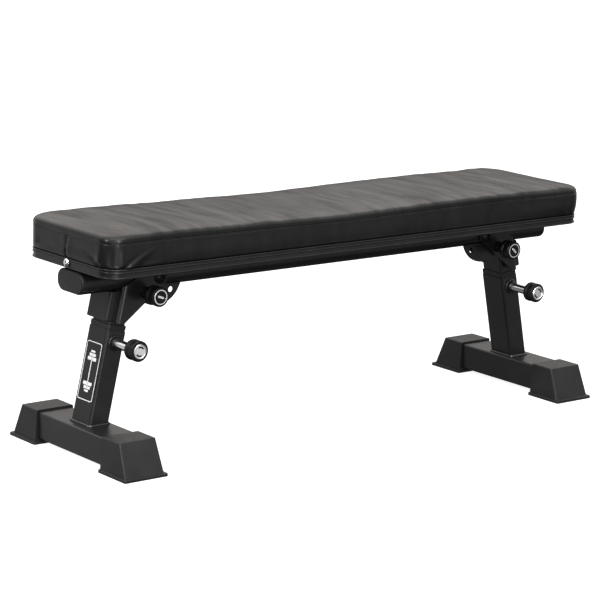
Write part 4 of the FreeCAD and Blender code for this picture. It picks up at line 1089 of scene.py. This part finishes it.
def make_world():
    """White to the camera. To the bench, a room that brightens upwards, with three parts darkened,
    one card behind, two in front and a warmer patch at the far end."""
    world = bpy.data.worlds.new("studio")
    world.use_nodes = True
    tree = world.node_tree
    tree.nodes.clear()

    def add(kind, **settings):
        node = tree.nodes.new(kind)
        for name, setting in settings.items():
            setattr(node, name, setting)
        return node

    def ramp(source, start, stop, low, high):
        node = add("ShaderNodeMapRange", interpolation_type="SMOOTHSTEP")
        for socket, number in (("From Min", start), ("From Max", stop), ("To Min", low), ("To Max", high)):
            node.inputs[socket].default_value = number
        tree.links.new(source, node.inputs["Value"])
        return node.outputs["Result"]

    def towards(direction):
        node = add("ShaderNodeVectorMath", operation="DOT_PRODUCT")
        tree.links.new(place.outputs["Generated"], node.inputs[0])
        node.inputs[1].default_value = Vector(direction).normalized()
        return node.outputs["Value"]

    def joined(operation, first, second):
        node = add("ShaderNodeMath", operation=operation)
        tree.links.new(first, node.inputs[0])
        tree.links.new(second, node.inputs[1])
        return node.outputs["Value"]

    place = add("ShaderNodeTexCoord")
    up = towards((0, 0, 1))
    below = ramp(up, -0.6, 0.02, 0.10, 0.48)
    above = ramp(up, 0.12, 0.34, 0.9, 2.25)
    beside = ramp(towards((-0.96, 0.29, 0.0)), 0.76, 0.88, 1.0, 0.30)
    far_right = ramp(towards((0.86, -0.51, 0.0)), 0.89, 0.95, 1.0, 0.55)
    left = ramp(towards((-0.20, 0.96, -0.2)), 0.86, 0.96, 0.0, 0.54)
    higher = ramp(up, 0.38, 0.62, 1.0, 1.45)
    card = ramp(towards((0.54, -0.82, -0.2)), 0.965, 0.995, 0.0, 0.5)
    corner = ramp(towards((-0.55, -0.80, -0.2)), 0.955, 0.985, 0.0, 1.3)
    behind = ramp(towards((0.607, 0.74, -0.30)), 0.88, 0.97, 1.0, 0.2)
    height = joined("MULTIPLY", joined("MULTIPLY", below, above), joined("MULTIPLY", higher, far_right))
    plain = joined("MULTIPLY", height, joined("MULTIPLY", beside, behind))
    strength = joined("ADD", joined("ADD", plain, left), joined("ADD", card, corner))
    warmth = add("ShaderNodeMix", data_type="RGBA")
    tree.links.new(ramp(towards((0.60, 0.72, 0.35)), 0.86, 0.97, 0.0, 1.0), warmth.inputs["Factor"])
    warmth.inputs[6].default_value = (1.0, 1.0, 1.0, 1.0)
    warmth.inputs[7].default_value = (1.0, 0.95, 0.915, 1.0)
    room = add("ShaderNodeBackground")
    tree.links.new(warmth.outputs[2], room.inputs["Color"])
    tree.links.new(strength, room.inputs["Strength"])
    seen = add("ShaderNodeBackground")
    seen.inputs["Color"].default_value = (1.0, 1.0, 1.0, 1.0)
    mix = add("ShaderNodeMixShader")
    tree.links.new(add("ShaderNodeLightPath").outputs["Is Camera Ray"], mix.inputs["Fac"])
    tree.links.new(room.outputs["Background"], mix.inputs[1])
    tree.links.new(seen.outputs["Background"], mix.inputs[2])
    tree.links.new(mix.outputs["Shader"], add("ShaderNodeOutputWorld").inputs["Surface"])
    bpy.context.scene.world = world


def make_camera():
    """A long lens in front of the near end, a little above the bench."""
    place = Vector((-2.82468, -3.51942, 1.20340))
    yaw, pitch, roll = 0.900792, 0.2143302, -0.0294605
    sensor, lens = 36.0, 148.9806
    forward = Vector((math.cos(yaw) * math.cos(pitch), math.sin(yaw) * math.cos(pitch), -math.sin(pitch)))
    side = Vector((math.sin(yaw), -math.cos(yaw), 0))
    down = forward.cross(side)
    right = side * math.cos(roll) + down * math.sin(roll)
    below = -side * math.sin(roll) + down * math.cos(roll)
    turn = Matrix((right, -below, -forward)).transposed()
    data = bpy.data.cameras.new("camera")
    data.sensor_width = sensor
    data.lens = lens
    data.clip_start, data.clip_end = 0.05, 200.0
    item = bpy.data.objects.new("camera", data)
    item.matrix_world = Matrix.Translation(place) @ turn.to_4x4()
    bpy.context.scene.collection.objects.link(item)
    bpy.context.scene.camera = item


make_floor()
area_light("overhead", (-0.7, -1.2, 3.2), (0.0, 0.0, 0.3), (2.6, 1.6), 70.0)
area_light("left_box", (-3.2, -0.1, 1.6), (-0.5, 0.0, 0.35), (0.6, 1.7), 46.0)
area_light("front_box", (-1.6, -2.4, 1.25), (-0.5, 0.0, 0.35), (0.6, 2.0), 54.0)
make_world()
make_camera()
bpy.context.scene.view_settings.view_transform = "Standard"
